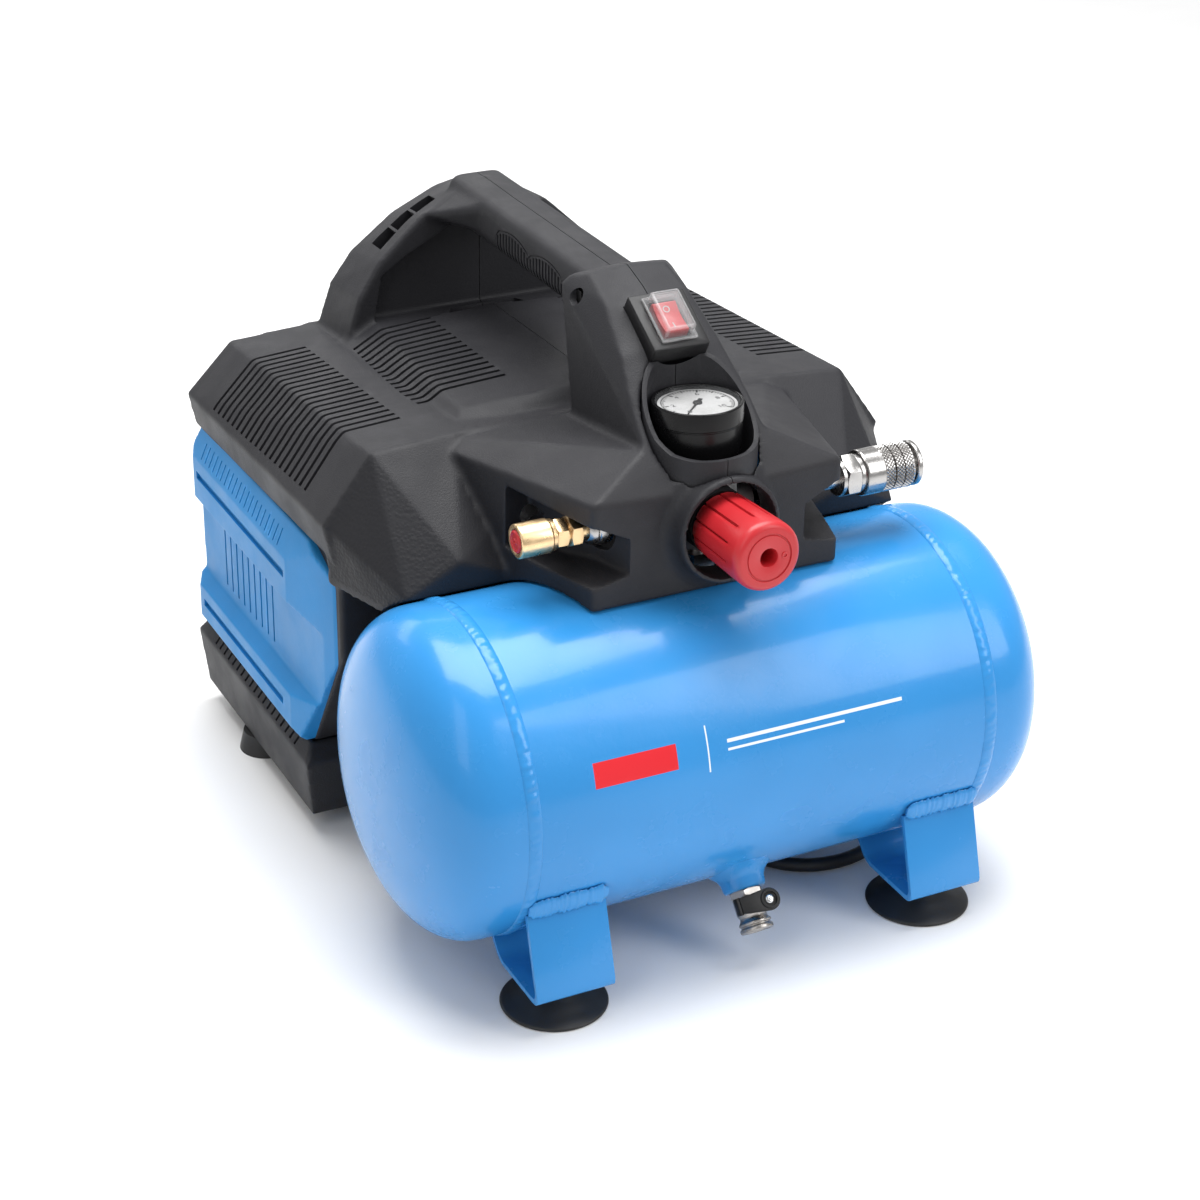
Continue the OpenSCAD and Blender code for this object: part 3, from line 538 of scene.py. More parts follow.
nickel = metal("nickel", (0.47, 0.46, 0.45), rough=(0.2, 0.3), depth=0.06)
valve_metal = metal("valve_metal", (0.42, 0.40, 0.38), rough=(0.26, 0.45), depth=0.3, scale=500)
# painted shade: a dark metal for the knurl's grooves, where shade falls
knurl_painted_shade = metal("knurl_painted_shade", (0.13, 0.12, 0.115), rough=(0.35, 0.5), depth=0.2)
black_steel = metal("black_steel", (0.07, 0.07, 0.072), rough=(0.3, 0.45), depth=0.1)
brass = metal("brass", (0.90, 0.65, 0.37), rough=(0.24, 0.36), brush=(1, 12, 12), depth=0.08)
cast = metal("cast_aluminium", (0.60, 0.61, 0.62), rough=(0.4, 0.6), depth=0.5, scale=420)
steel_sheets = metal("laminations", (0.30, 0.30, 0.31), rough=(0.35, 0.5), brush=(40, 1, 1), depth=0.5)
needle_black = moulded("needle_black", (0.01, 0.01, 0.01), grain=500, depth=0.05, rough=(0.4, 0.5), worn=0)


def clear_plastic(name, base, alpha, rim, rough, specular):
    """Thin see-through plastic: clearer face on, denser at its edges, with a faint haze in its gloss."""
    n = Nodes(name)
    weight = n.add("ShaderNodeLayerWeight")
    weight.inputs["Blend"].default_value = 0.4
    facing = n.range(weight.outputs["Facing"], 0.25, 0.95, alpha, rim)
    haze = n.math("MULTIPLY", facing, n.range(n.noise(140, 4), 0.3, 0.75, 0.8, 1.2))
    n.set(color=n.mix(n.noise(60, 3), base, tuple(c * 0.92 for c in base)), alpha=haze, ior=1.46,
        specular=specular, rough=n.range(n.noise(80, 3), 0.3, 0.8, *rough),
        normal=n.bump(n.noise(90, 2), 0.04, 0.0005))
    return n


def dial_card():
    n = Nodes("dial_card")
    n.set(color=n.mix(n.range(n.noise(90, 4), 0.35, 0.7, 0, 1), (0.47, 0.47, 0.47), (0.39, 0.39, 0.385)),
        rough=n.range(n.noise(200, 3), 0.3, 0.7, 0.45, 0.6), normal=n.bump(n.noise(1500, 2), 0.05, 0.0002))
    return n


lens_clear = clear_plastic("lens_clear", (0.30, 0.31, 0.32), 0.035, 0.10, (0.05, 0.10), 0.3)
boot_clear = clear_plastic("boot_clear", (0.42, 0.42, 0.43), 0.14, 0.34, (0.2, 0.34), 0.4)
# painted highlight: a paler, denser copy of the boot's clear plastic for its rounded edges
boot_painted_highlight = clear_plastic("boot_painted_highlight", (0.62, 0.62, 0.63), 0.30, 0.50, (0.2, 0.3), 0.5)
dial = dial_card()


def printed_tank():
    """The tank's paint with plain printed marks: a red bar, a thin upright rule and two white stripes."""
    n = paint("tank_blue_printed", BLUE, BLUE_DARK)
    base = n.b.inputs["Base Color"].links[0].from_socket
    x, y, z = n.axis(0), n.axis(1), n.axis(2)
    front = n.math("LESS_THAN", y, (SHIFT_Y - 30) * MM)
    below = n.math("SUBTRACT", AXIS_Z * MM, z)
    # the angle below the level of the tank's axis
    turn = n.math("ARCTAN2", below, n.math("SUBTRACT", SHIFT_Y * MM, y))

    def band(value, lo, hi, soft):
        return n.math("MULTIPLY", n.range(value, lo - soft, lo + soft, 0, 1),
            n.range(value, hi - soft, hi + soft, 1, 0))

    def mark(x0, x1, a0, a1):
        h = n.math("MULTIPLY", turn, TANK_R * MM)
        return n.math("MULTIPLY", front, n.math("MULTIPLY", band(x, x0 * MM, x1 * MM, 0.00012),
            band(h, a0 * MM, a1 * MM, 0.00012)))

    red = mark(*MARKS["bar"])
    white = mark(*MARKS["rule"])
    for k in ("stripe_a", "stripe_b"):
        white = n.math("MAXIMUM", white, mark(*MARKS[k]))
    n.set(color=n.mix(white, n.mix(red, base, (0.70, 0.02, 0.03)), (0.80, 0.84, 0.88)))
    return n


MARKS = {"bar": (-90, -48, -34, -22), "rule": (-32.5, -31.8, -39, -17), "stripe_a": (-22, 72, -30.5, -28.8),
    "stripe_b": (-22, 40, -26.2, -25)}


def grained_housing():
    """The housing's plastic with the coarser leather-like grain of the flanks."""
    n = moulded("housing_grained", (0.019, 0.019, 0.022), rough=(0.5, 0.62), worn=0.2, specular=0.25)
    leather = n.math("SUBTRACT", 1.0, n.cells(620, "SMOOTH_F1"))
    n.set(normal=n.bump(leather, 0.5, 0.0005, n.bump(n.noise(1500, 2, 0.7), 0.25, 0.0003)))
    return n


housing_grain = grained_housing()
tank_printed = printed_tank()


def dress(o, material):
    o.data.materials.clear()
    o.data.materials.append(material.m)
    return o


def repaint(o, material, where):
    """Gives a second material to the faces that a test picks."""
    o.data.materials.append(material.m)
    for f in o.data.polygons:
        if where(f):
            f.material_index = 1


def stand_for(o, material, *nodes, body="frame", sharp=None, name=None):
    """Makes an object a visible piece of a body, in the place of CAD nodes and named after the first.

    With sharp, it is shaded smooth but for the edges over that many degrees.
    """
    o.name = o.data.name = name or nodes[0] + "_skin"
    if sharp:
        shade(o, sharp)
    dress(o, material)
    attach(o, body)
    if nodes:
        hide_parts(*nodes)
    return o


stand_for(lead, rubber, "power_cord", "cord_coil", name="mains_lead")


# ---------- tank ----------
def tank_profile(t, depth, r, n=2.4, steps=40, base=9):
    out = []
    for k in range(steps + 1):
        a = pi / 2 * (1 - k / steps)
        out.append((r * sin(a) ** (2 / n), t + base + depth * cos(a) ** (2 / n)))
    return out


shell = lathe([(TANK_R, -HALF), (TANK_R, HALF), (TANK_R - 2.5, HALF), (TANK_R - 2.5, -HALF)], TANK_AXIS,
    192, closed=True)
stand_for(shell, tank_printed, "tank_shell")
for side, node in ((1, "tank_end_right"), (-1, "tank_end_left")):
    outer = [(TANK_R, HALF)] + tank_profile(HALF, 40, TANK_R)
    inner = [(r, h) for r, h in tank_profile(HALF, 37.5, TANK_R - 2.5)][::-1] + [(TANK_R - 2.5, HALF)]
    inner[0] = (0.0, inner[0][1])
    outer[-1] = (0.0, outer[-1][1])
    flip = TANK_AXIS if side > 0 else TANK_AXIS @ rot_x(180)
    end = lathe(outer + inner, flip, 192, closed=True)
    stand_for(end, tank_paint, node)


def weld_height(a, h, seed):
    """Uneven height of a weld bead: long swells, short lumps and a faint ripple."""
    c, d = cos(a), sin(a)
    long = noise.noise(Vector((c * 6, d * 6, seed)))
    lumps = noise.noise(Vector((c * 26, d * 26, seed + 0.15 * h)))
    return 0.66 + 0.24 * long + 0.3 * lumps + 0.07 * sin(a * 110 + 5 * long + 0.5 * h)


welds = []
for s, seed in ((-1, 1.3), (1, 7.9)):
    section = [(TANK_R - 0.5, -3.6)] + [
        (TANK_R - 0.3 + 1.6 * cos(pi / 2 * k / 7) ** 1.3, 3.6 * sin(pi / 2 * k / 7)) for k in range(-7, 8)
    ] + [(TANK_R - 0.5, 3.6)]
    section = [(r, s * HALF + h) for r, h in section]

    def ripple(r, h, a, k, seed=seed):
        return r if r < TANK_R + 0.1 else TANK_R + (r - TANK_R) * weld_height(a, h, seed)

    welds.append(lathe(section, TANK_AXIS, 720, closed=True, radius_of=ripple))
weld = joined(welds)
stand_for(weld, tank_paint, "tank_welds", sharp=60)

# brackets: bent sheet with rounded bends
BRACKET_X, FOOT_Y = 101, -59
sheet_line = [(-33, 28.5), (-42, 19), (-81, 19), (-68.6, 59.5)]


def offset_line(line, t):
    out = []
    for i in range(len(line)):
        a = Vector(line[max(i, 1)]) - Vector(line[max(i, 1) - 1])
        j = min(i, len(line) - 2)
        b = Vector(line[j + 1]) - Vector(line[j])
        na = Vector((-a.y, a.x)).normalized()
        nb = Vector((-b.y, b.x)).normalized()
        out.append(tuple(Vector(line[i]) + t * (na + nb) / (1 + na.dot(nb))))
    return out


inner_line = rounded(sheet_line, [0, 5, 5, 0], 6, closed=False)
outer_line = rounded(offset_line(sheet_line, 2.5), [0, 5.5, 7, 0], 6, closed=False)
for s, name in SIDES:
    plate = prism(inner_line + outer_line[::-1], s * BRACKET_X - 20, s * BRACKET_X + 20, "X")
    boolean(plate, cyl(3.3, 10, 30, at(s * BRACKET_X, FOOT_Y, 0), 32))
    bevel(plate, 0.45, 2, 40)
    stand_for(plate, tank_paint, "bracket_" + name, sharp=40)
beads = []
for s in (-1, 1):
    verts, faces = [], []
    n, m = 84, 14
    for i in range(n + 1):
        u = i / n
        x = s * BRACKET_X - 20 + 40 * u
        wob = noise.noise(Vector((x * 0.22, 3.1, 0)))
        lump = noise.noise(Vector((x * 0.9, 8.7, 0)))
        swell = (0.84 + 0.16 * wob + 0.15 * lump + 0.04 * sin(x * 2.0 + 3 * wob)) * min(1, 0.55 + 6 * u,
            0.55 + 6 * (1 - u))
        for k in range(m):
            a = 2 * pi * k / m
            verts.append((x, -73.2 + SHIFT_Y + 1.9 * swell * cos(a) - 0.5 * sin(a),
                63.8 + 6.1 * swell * sin(a) - 0.6 * cos(a)))
    for i in range(n):
        for k in range(m):
            faces.append((i * m + k, i * m + (k + 1) % m, (i + 1) * m + (k + 1) % m, (i + 1) * m + k))
    faces += [tuple(range(m)), tuple(n * m + k for k in range(m))]
    beads.append(new_object(verts, faces))
bead = joined(beads)
stand_for(bead, tank_paint, "bracket_welds", sharp=60)

# feet
foot_line = rounded([(0.01, 2.4), (9, 2.2), (22.5, 0.15), (24.8, 0), (26, 0.6), (25.3, 1.7), (19, 4.3),
    (13.0, 8.2), (9.6, 12.4), (9.7, 14.4), (11, 15.8), (11, 16.5), (0.01, 16.5)],
    [0, 2, 0.3, 1, 1, 2, 4, 4, 3, 1.4, 0.5, 0.4, 0], 4)
for s, name in SIDES:
    foot = lathe(foot_line, at(s * BRACKET_X, FOOT_Y, 0), 96)
    stand_for(foot, rubber, "front_foot_" + name)

# drain boss with its fillet to the tank
boss = lathe([(5.1, 76), (18, 76), (17.5, 78.5), (14.5, 80.4), (12.2, 82.6), (11.0, 85), (10.6, 88.6),
    (10.1, 89.6), (9.4, 90), (5.1, 90)], DRAIN, 96, closed=True)
stand_for(boss, tank_paint, "drain_boss")

# ---------- housing ----------
SHOULDER_X, SHOULDER_Z, DECK_Z = 154.0, 194.0, 231.0


def both(points):
    return points + [(-x, y, z) for x, y, z in points]


def shoulder_points(t, sign):
    out = []
    for rear in (0, 1):
        for x, z in ((0, DECK_Z), (86, DECK_Z), (129, DECK_Z - 3), (SHOULDER_X, SHOULDER_Z),
                (SHOULDER_X - 4, 175), (0, 175)):
            out.append((sign * max(x - t, 0), 286 - t if rear else 86 + t,
                z - (t if z > 180 else 0) - rear * (15 if z > 200 else 7)))
    return out


def plateau_points(t, sign):
    raw = [(0, 104, 237), (30, 104, 236), (73, 108, 233), (83, 104, 226), (0, 92, 228), (80, 92, 227),
        (0, 246, 233), (40, 246, 231), (64, 246, 229), (80, 246, 220), (0, 246, 200), (80, 104, 200)]
    return [(sign * max(x - t, 0), y + t if y < 150 else y - t, z - t if z > 210 else z) for x, y, z in raw]


def flank_points(t, sign):
    raw = [(70, 100, 228), (86, 86, 231), (129, 86, 228), (152, 89, 194), (133, 36, 174), (106, 35, 189),
        (92, 80, 225), (60, 60, 200), (60, 36, 170), (133, 36, 160), (150, 95, 160), (70, 100, 160)]
    return [(sign * (x - t), y + t, z - t) for x, y, z in raw]


def console_points(t, sign):
    raw = [(0, -21, 170), (0, -21, 230), (0, -5, 248.5), (32, -5, 248.5), (65, -21, 170), (65, -21, 233),
        (92, 80, 225), (92, 100, 225), (92, 100, 170), (80, 30, 170), (30, 72, 234), (0, 72, 238),
        (0, 100, 170)]
    return [(sign * max(x - t, 0), y + t, z - t if z > 180 else z - 5) for x, y, z in raw]


def tower_points(t, sign):
    raw = [(20, 76, 305), (26, 86, 302), (22, 57, 298), (24, 42, 288), (26, 30, 280), (30, 11, 263),
        (32, -5, 248.5), (32, -5, 236), (30, 88, 298), (30, 73, 236), (0, 88, 303), (0, 77, 306.5),
        (0, 60, 301), (0, 28, 285), (0, -5, 249), (0, -5, 236), (0, 73, 236)]
    return [(sign * max(x - t, 0), y - t if y > 70 else y + t, z - t if z > 240 else z - 10)
        for x, y, z in raw]


HOOD = [(0, 301), (11, 298), (36, 284), (60, 262), (72, 243), (80, 216), (0, 216)]


def hood_points(t, sign):
    return [(sign * max(x - t, 0), 283 - t if rear else 240 + t, z - t - rear * (z - 216) * 0.17)
        for x, z in HOOD for rear in (0, 1)]


BODY = [(131, 52), (284, 52), (289, 120), (289, 176), (88, 176), (88, 120)]
BODY_IN = [(134, 50), (281, 50), (286, 120), (286, 180), (91, 180), (91, 120)]
BAY = [(46, 195), (46, 213), (62, 221), (125, 224), (125, 187), (60, 192)]
BAY_PLAN = [(46, -46), (46, -21), (51.5, 3), (60, 20), (66, 44), (88, 36.5), (96, 33), (125, 33),
    (125, -46)]
BAY_WALL = [(43, 192), (43, 216), (62, 224.5), (125, 227.5), (125, 184), (60, 189)]
BAY_WALL_PLAN = [(43, -49), (43, -21), (48.5, 3), (57, 21.5), (63, 47), (89.5, 39.5), (96, 36), (125, 36),
    (125, -49)]


def bay_room(section, plan):
    room = prism(section, -50, 65, "Y")
    return boolean(room, prism(plan, 160, 250, "Z"), "INTERSECT")


solids = [hull(both(shoulder_points(0, 1))), prism(BODY, -146, 146, "X"), hull(both(plateau_points(0, 1)))]
for s in (1, -1):
    solids += [hull(flank_points(0, s)), hull(console_points(0, s)), hull(tower_points(0, s)),
        hull(hood_points(0, s))]
handle_line = rounded([(-16, 276), (16, 276), (16, 300), (-16, 300)], [7, 7, 8, 8], 6)
handle = prism(handle_line, 72, 252, "Y")
root = hull(both([(0, 241, 300.5), (12, 241, 297), (34, 241, 284), (27, 241, 279), (10, 205, 300),
    (15.5, 208, 294), (15.5, 214, 281), (0, 205, 300)]))
collar = lathe([(20, 8), (32, 14), (31.4, 21.6), (28.2, 23.2), (26.4, 26.2), (26, 30), (26, 34.5),
    (20, 34.5)], KNOB_AXIS, 128, closed=True, smooth=False)
shape = joined(solids + [handle, root, collar])
melt(shape, 1.6)
bay = bay_room(BAY, BAY_PLAN)
recess = [(64, 229), (59, 254), (47, 262), (14.5, 279), (-14.5, 279), (-47, 262), (-59, 254), (-64, 229)]
boolean(shape, [
    mirrored_copy(bay), bay,
    cyl(81.0, -200, 200, TANK_AXIS, 192),
    cyl(23.5, 5, 45, KNOB_AXIS, 96),
    cyl(27.85, 223.5, 305, CUP_AXIS, 96),
    prism([(-60, 80), (60, 80), (60, 181), (-60, 181)], -60, -20.5, "Y"),
    prism(recess, 230, 247, "Y"),
])
soften(shape, 1.0, 3, 0.36)
WALL = 3
hollow = hull(both(shoulder_points(WALL, 1)))
hollows = [hull(both(plateau_points(WALL, 1))), prism(BODY_IN, -143, 143, "X")]
for s in (1, -1):
    hollows += [hull(console_points(WALL, s)), hull(tower_points(WALL, s))]
hollows.append(block((-10, 10), (80, 250), (281, 294)))
hood_in = [(-72, 180), (72, 180), (64, 240), (52, 256), (30, 272), (-30, 272), (-52, 256), (-64, 240)]
hollows.append(prism(hood_in, 250, 279, "Y"))
boolean(hollow, hollows, "UNION")
wall = bay_room(BAY_WALL, BAY_WALL_PLAN)
boolean(hollow, [mirrored_copy(wall), wall])
boolean(shape, hollow)

SLOT_PITCH = 6.7
slots = []
for i in range(20):
    y, z = 121 + i * SLOT_PITCH, -i * SLOT_PITCH * 0.069
    line_2d = [(99.5, 221 + z), (129.5, 218 + z), (147.5, 196 + z), (153, 201 + z), (134, 236 + z),
        (99.5, 238 + z)]
    slots.append(prism(line_2d, y - 1.3, y + 1.3, "Y"))
for i in range(15):
    y = 134 + i * SLOT_PITCH
    slots.append(prism([(37, 227), (65, 224), (80.5 - i * 0.2, 217.5), (86, 226), (77, 240), (37, 242)],
        y - 1.3, y + 1.3, "Y"))
slots += [mirrored_copy(o) for o in slots]
boolean(shape, joined(slots))
vents = []
for i in range(3):
    m = at(28 + i * 10.6, 258.5, 284 - i * 8.6) @ rot_y(39)
    vents.append(block((-6.1, 6.1), (-7.5, 7.5), (-16, 16), m))
vents += [mirrored_copy(o) for o in vents]
boolean(shape, joined(vents))
small = [block((-11, 11), (-14.5, 14.5), (-14, 0), SWITCH),
    block((-14.85, 14.85), (-16.75, 16.75), (-4.2, 12), SWITCH)]
for s in (-1, 1):
    turn = rot_y(90 * s)
    small.append(cyl(12, 30, 66, CENTRE @ turn, 64))
    small.append(cyl(5, 0, 24, at(67 * s, 58, 203) @ rot_x(90), 40))
    small.append(cyl(4, 20, 40, at(0, 74, 295) @ turn, 40))
    small.append(cyl(4.3, 120, 170, at(0, 90, 165) @ turn, 40))
small.append(cyl(8.5, -20, 30, at(30, 110, 30) @ rot_x(90), 32))
small.append(block((-0.22, 0.22), (-60, 320), (40, 330)))
boolean(shape, small)


def lobe(y):
    """Height of the grips' two-lobed upper edge along the handle."""
    t = (y - 112) / 80
    return 285.2 + 5.6 * abs(sin(2 * pi * t)) ** 0.7 - 3.5 * (max(0, abs(t - 0.5) - 0.44) / 0.06) ** 2


corner = [(15.45 - 6.4 + 6.4 * cos(a), 283.0 + 6.4 * sin(a))
    for a in [radians(-90 + 9 * k) for k in range(11)]]
grips = []
for i in range(22):
    y = 114.2 + 3.55 * i
    top = lobe(y)
    grips.append(prism([(5, 274), (5, 276.6)] + corner + [(15.45, top), (17.5, top), (17.5, 274)], y - 1.15,
        y + 1.15, "Y"))
edge = [112 + 80 * k / 48 for k in range(49)]
grips.append(prism([(y, lobe(y) + 2.0) for y in edge] + [(y, lobe(y) + 1.1) for y in edge[::-1]], 15.4,
    17.5, "X"))
for o in [mirrored_copy(o) for o in grips] + grips:
    boolean(shape, o)


def by_side(o):
    """Splits an object at x = 0 into a left and a right one."""
    out = []
    for s in (-1, 1):
        bm = bmesh.new()
        bm.from_mesh(o.data)
        seen, gone = set(), []
        for v in bm.verts:
            if v in seen:
                continue
            island, todo = [], [v]
            seen.add(v)
            while todo:
                a = todo.pop()
                island.append(a)
                for e in a.link_edges:
                    b = e.other_vert(a)
                    if b not in seen:
                        seen.add(b)
                        todo.append(b)
            if s * sum(a.co.x for a in island) < 0 or len(island) < 400:
                gone += island
        bmesh.ops.delete(bm, geom=gone, context="VERTS")
        out.append(from_bmesh(bm))
    drop(o)
    return out


def on_flank(f):
    """Whether a face is on the slanted flank beside the console."""
    c, n = f.center / MM, f.normal
    y = c.y - SHIFT_Y
    slanted = n.y < -0.1 and n.x * c.x > 0 and abs(n.x) > 0.25
    return 30 < y < 91 and 165 < c.z < 229 and abs(c.x) > 100 and slanted


for half, (s, name) in zip(by_side(shape), SIDES):
    stand_for(half, black_housing, "housing_" + name, sharp=32)
    repaint(half, housing_grain, on_flank)

# ---------- end covers ----------
cover_section = [(140, 53), (150, 53), (156, 59), (156, 78), (149, 84), (149, 126), (156, 131), (156, 155),
    (149, 171.5), (140, 171.5)]
for s, name in SIDES:
    side = prism(cover_section, 85, 300, "Y")
    sides = prism([(132, 52), (284, 52), (286, 140), (278, 172), (122, 172), (93, 160), (91, 118)], 120,
        170, "X")
    plan = prism([(139, 80), (147, 95), (156, 137), (156, 276), (150, 288), (139, 288)], 40, 190, "Z")
    boolean(side, [sides, plan], "INTERSECT")
    soften(side, 1.0, 5, 0.5)
    marks = [block((154.2, 160), (140, 271), (143.4, 147.8)), block((154.2, 160), (148, 270), (67.2, 71.6))]
    marks += [block((140, 160), (176 + i * 9, 178 + i * 9), (88, 122)) for i in range(9)]
    for i in range(20):
        tilt = at(153.6, 150 + i * 6, 161.5) @ rot_y(-24)
        marks.append(block((-1.2, 4), (-0.5, 0.5), (-4.6, 4.6), tilt))
    boolean(side, joined(marks))
    if s < 0:
        left = mirrored_copy(side)
        drop(side)
        side = left
    stand_for(side, cover_blue, "end_cover_" + name, sharp=32)


# ---------- base tray ----------
def tray_points(t):
    raw = [(150, 126, 11), (150, 287, 11), (154, 122, 44), (154, 289, 44), (148, 130, 52), (148, 285, 52)]
    return [(s * (x - t), y - t if y > 200 else y + t, z + t if z < 20 else z + (3 if t and z > 50 else 0))
        for s in (-1, 1) for x, y, z in raw]


tray = hull(tray_points(0))
soften(tray, 1.2, 4, 0.45)
boolean(tray, [hull(tray_points(WALL)), block((-143, 143), (136, 281), (45, 56))])
slots = []
for i in range(19):
    y = 143 + i * SLOT_PITCH
    for s in (-1, 1):
        m = at(s * 152.3, y, 48.6) @ rot_y(s * 37)
        slots.append(block((-2.2, 2.2), (-0.95, 0.95), (-4.6, 4.6), m))
boolean(tray, joined(slots))
boolean(tray, [cyl(6.05, -16, 16, at(30, 126, 30) @ rot_x(90), 40)])
posts = [cyl(7, 12, 44, at(x, 185 + y, 0), 40) for x in (-60, 30) for y in (-35, 35)]
boolean(tray, joined(posts), "UNION")
stand_for(tray, black_housing, "base_tray", sharp=32)

# ---------- regulator knob ----------
knob_line = [(11.55, 26), (15.9, 26), (16.2, 26.6), (16.35, 36), (16.6, 46), (16.75, 51), (16.85, 54),
    (16.9, 56), (16.95, 58), (17, 60), (17, 64)]
knob_line += [(17 - 3.4 * (1 - cos(a)), 64.1 + 4.3 * sin(a)) for a in [pi / 2 * k / 8 for k in range(1, 9)]]
knob_line += [(11.7, 68.5), (11.4, 67.9), (10.9, 67.9), (10.6, 68.4), (5.3, 68.5), (4.6, 68.2), (4.3, 67.4),
    (4.3, 50), (11.55, 50)]


def flutes(r, h, a, k):
    """Twelve stepped grooves along the knob, which run out before its front rim."""
    if k == 0 or k > 11:
        return r
    place = (degrees(a) + 7) % 30
    groove = 1.1 * (1 - smooth_step((abs(place - 15) - 0.9) / 1.1))
    ledge = 0.4 * (1 - smooth_step((place - 15) / 7)) * (place > 15)
    return r - (groove + ledge) * (1 - smooth_step((h - 55) / 4))


knob = lathe(knob_line, KNOB_AXIS, 360, closed=True, radius_of=flutes)
pip = lathe([(0.85, 68.0), (1.55, 68.0), (1.45, 68.9), (0.95, 68.9)], KNOB_AXIS @ move(7.9, 0, 0), 36,
    closed=True)
knob = joined([knob, pip])
stand_for(knob, red_plastic, "regulator_knob", body="knob", sharp=40)

# ---------- gauge ----------
GT = 53  # the bezel's top, above the manifold's centre
ZERO, SWEEP = 225, 270  # degrees: where the scale starts, and how far it runs
case = lathe(rounded([(1.5, 11), (4, 11), (4, 26), (12, 27), (20.4, 27.4), (21.15, 43.4), (21.3, 43.7),
    (21.3, 44.2), (21.5, 44.5), (21.5, GT), (20.0, GT), (19.95, GT - 1.1), (18.9, GT - 3), (1.5, GT - 3)],
    [0, 0, 1, 2, 2, 0.3, 0.2, 0.2, 0.4, 0.8, 0.4, 0.2, 0, 0], 5), MANIFOLD, 128, closed=True)
stand_for(case, gauge_black, "gauge_case")
card = lathe([(1.5, GT - 2.95), (18.6, GT - 2.95), (18.6, GT - 2), (1.5, GT - 2)], MANIFOLD, 96,
    closed=True)
stand_for(card, dial, "gauge_dial")
inks = []
for i in range(51):
    a = ZERO - SWEEP * i / 50
    long = i % 10 == 0
    mid = i % 5 == 0
    r0, r1, w = (14.0 if long else 14.9 if mid else 15.6), 16.8, (0.42 if long else 0.28 if mid else 0.17)
    inks.append(block((r0, r1), (-w, w), (GT - 1.99, GT - 1.92), MANIFOLD @ rot_z(a)))
for i in range(80):
    a0, a1 = (radians(ZERO - SWEEP * (i + k) / 80) for k in (0, 1))
    quad = [(r * cos(a), r * sin(a), GT - 1.95) for a in (a0, a1) for r in (16.8, 17.2)]
    inks.append(new_object(quad, [(0, 1, 3, 2)], MANIFOLD, smooth=False))
for k, word in enumerate(("0", "2", "4", "6", "8", "10")):
    a = radians(ZERO - SWEEP / 5 * k)
    text = bpy.data.curves.new("number", "FONT")
    text.body = word
    text.size = 4.2 * MM
    text.align_x = "CENTER"
    text.align_y = "CENTER"
    o = as_object("number", text)
    me = shown_mesh(o)
    bpy.data.objects.remove(o)
    me.transform(MANIFOLD @ move(11.8 * cos(a), 11.8 * sin(a), GT - 1.94))
    inks.append(as_object("number", me))
ink = joined(inks)
stand_for(ink, needle_black, name="gauge_scale")
TOP = MANIFOLD @ move(0, 0, GT)
needle = new_object([(-1.0, -5, -1.75), (1.0, -5, -1.75), (0.6, 0, -1.75), (0.16, 14.8, -1.75),
    (-0.16, 14.8, -1.75), (-0.6, 0, -1.75), (-1.0, -5, -1.4), (1.0, -5, -1.4), (0.6, 0, -1.32),
    (0.16, 14.8, -1.45), (-0.16, 14.8, -1.45), (-0.6, 0, -1.32)],
    [(5, 4, 3, 2, 1, 0), (6, 7, 8, 9, 10, 11)] + [(i, (i + 1) % 6, 6 + (i + 1) % 6, 6 + i)
    for i in range(6)], TOP @ rot_z(ZERO - 90), smooth=False)
hub = lathe(rounded([(0.01, -6), (1.3, -6), (1.3, -1.9), (2.3, -1.85), (2.2, -1.25), (0.01, -1.15)],
    [0, 0, 0, 0.2, 0.3, 0], 4), TOP, 48)
needle = joined([needle, hub])
stand_for(needle, needle_black, "gauge_needle", body="needle", sharp=35)
lens = lathe([(0.01, -0.85), (10, -0.88), (19.65, -1), (19.7, -0.1), (15, 0.08), (8, 0.18), (0.01, 0.2)],
    TOP, 96)
stand_for(lens, lens_clear, "gauge_lens")

# gauge cup: a tube cut along the console's slope, with a rounded rim
cup = lathe([(9.5, 224), (27.2, 224), (27.2, 290), (25.0, 290), (25.0, 227), (9.5, 227)], CUP_AXIS, 128,
    closed=True)
boolean(cup, prism([(-60, 246.5), (-22, 246.5), (-14, 248), (-5, 253), (8, 265), (20, 276.5), (26, 280.5),
    (60, 281), (60, 320), (-60, 320)], -60, 60, "X"))
bevel(cup, 0.55, 3, 40)
boolean(cup, [cyl(17.9, -2, 50, KNOB_AXIS, 96), cyl(23.7, 5, 50, KNOB_AXIS, 96),
    block((-14.9, 14.9), (-16.8, 16.8), (-12.1, 9), SWITCH), block((-0.2, 0.2), (-29, -26.1), (220, 300)),
    block((-0.2, 0.2), (25, 30), (220, 300))])
stand_for(cup, black_housing, "gauge_cup", sharp=50)

# ---------- switch ----------
plate = bevel(block((-14.7, 14.7), (-16.6, 16.6), (-4, 5.8), SWITCH), 0.8, 3)
body = block((-10.5, 10.5), (-13.9, 13.9), (-12, 0), SWITCH)
boolean(plate, body, "UNION")
boolean(plate, block((-7.2, 7.2), (-10.4, 10.4), (-9, 9), SWITCH))
pins = [cyl(1.9, lo, lo + 2.2, PIVOT, 24) for lo in (5.1, -7.3)]
plate = joined([plate] + pins)
bevel(plate, 0.3, 2, 50)
stand_for(plate, black_satin, "switch_frame", sharp=35)

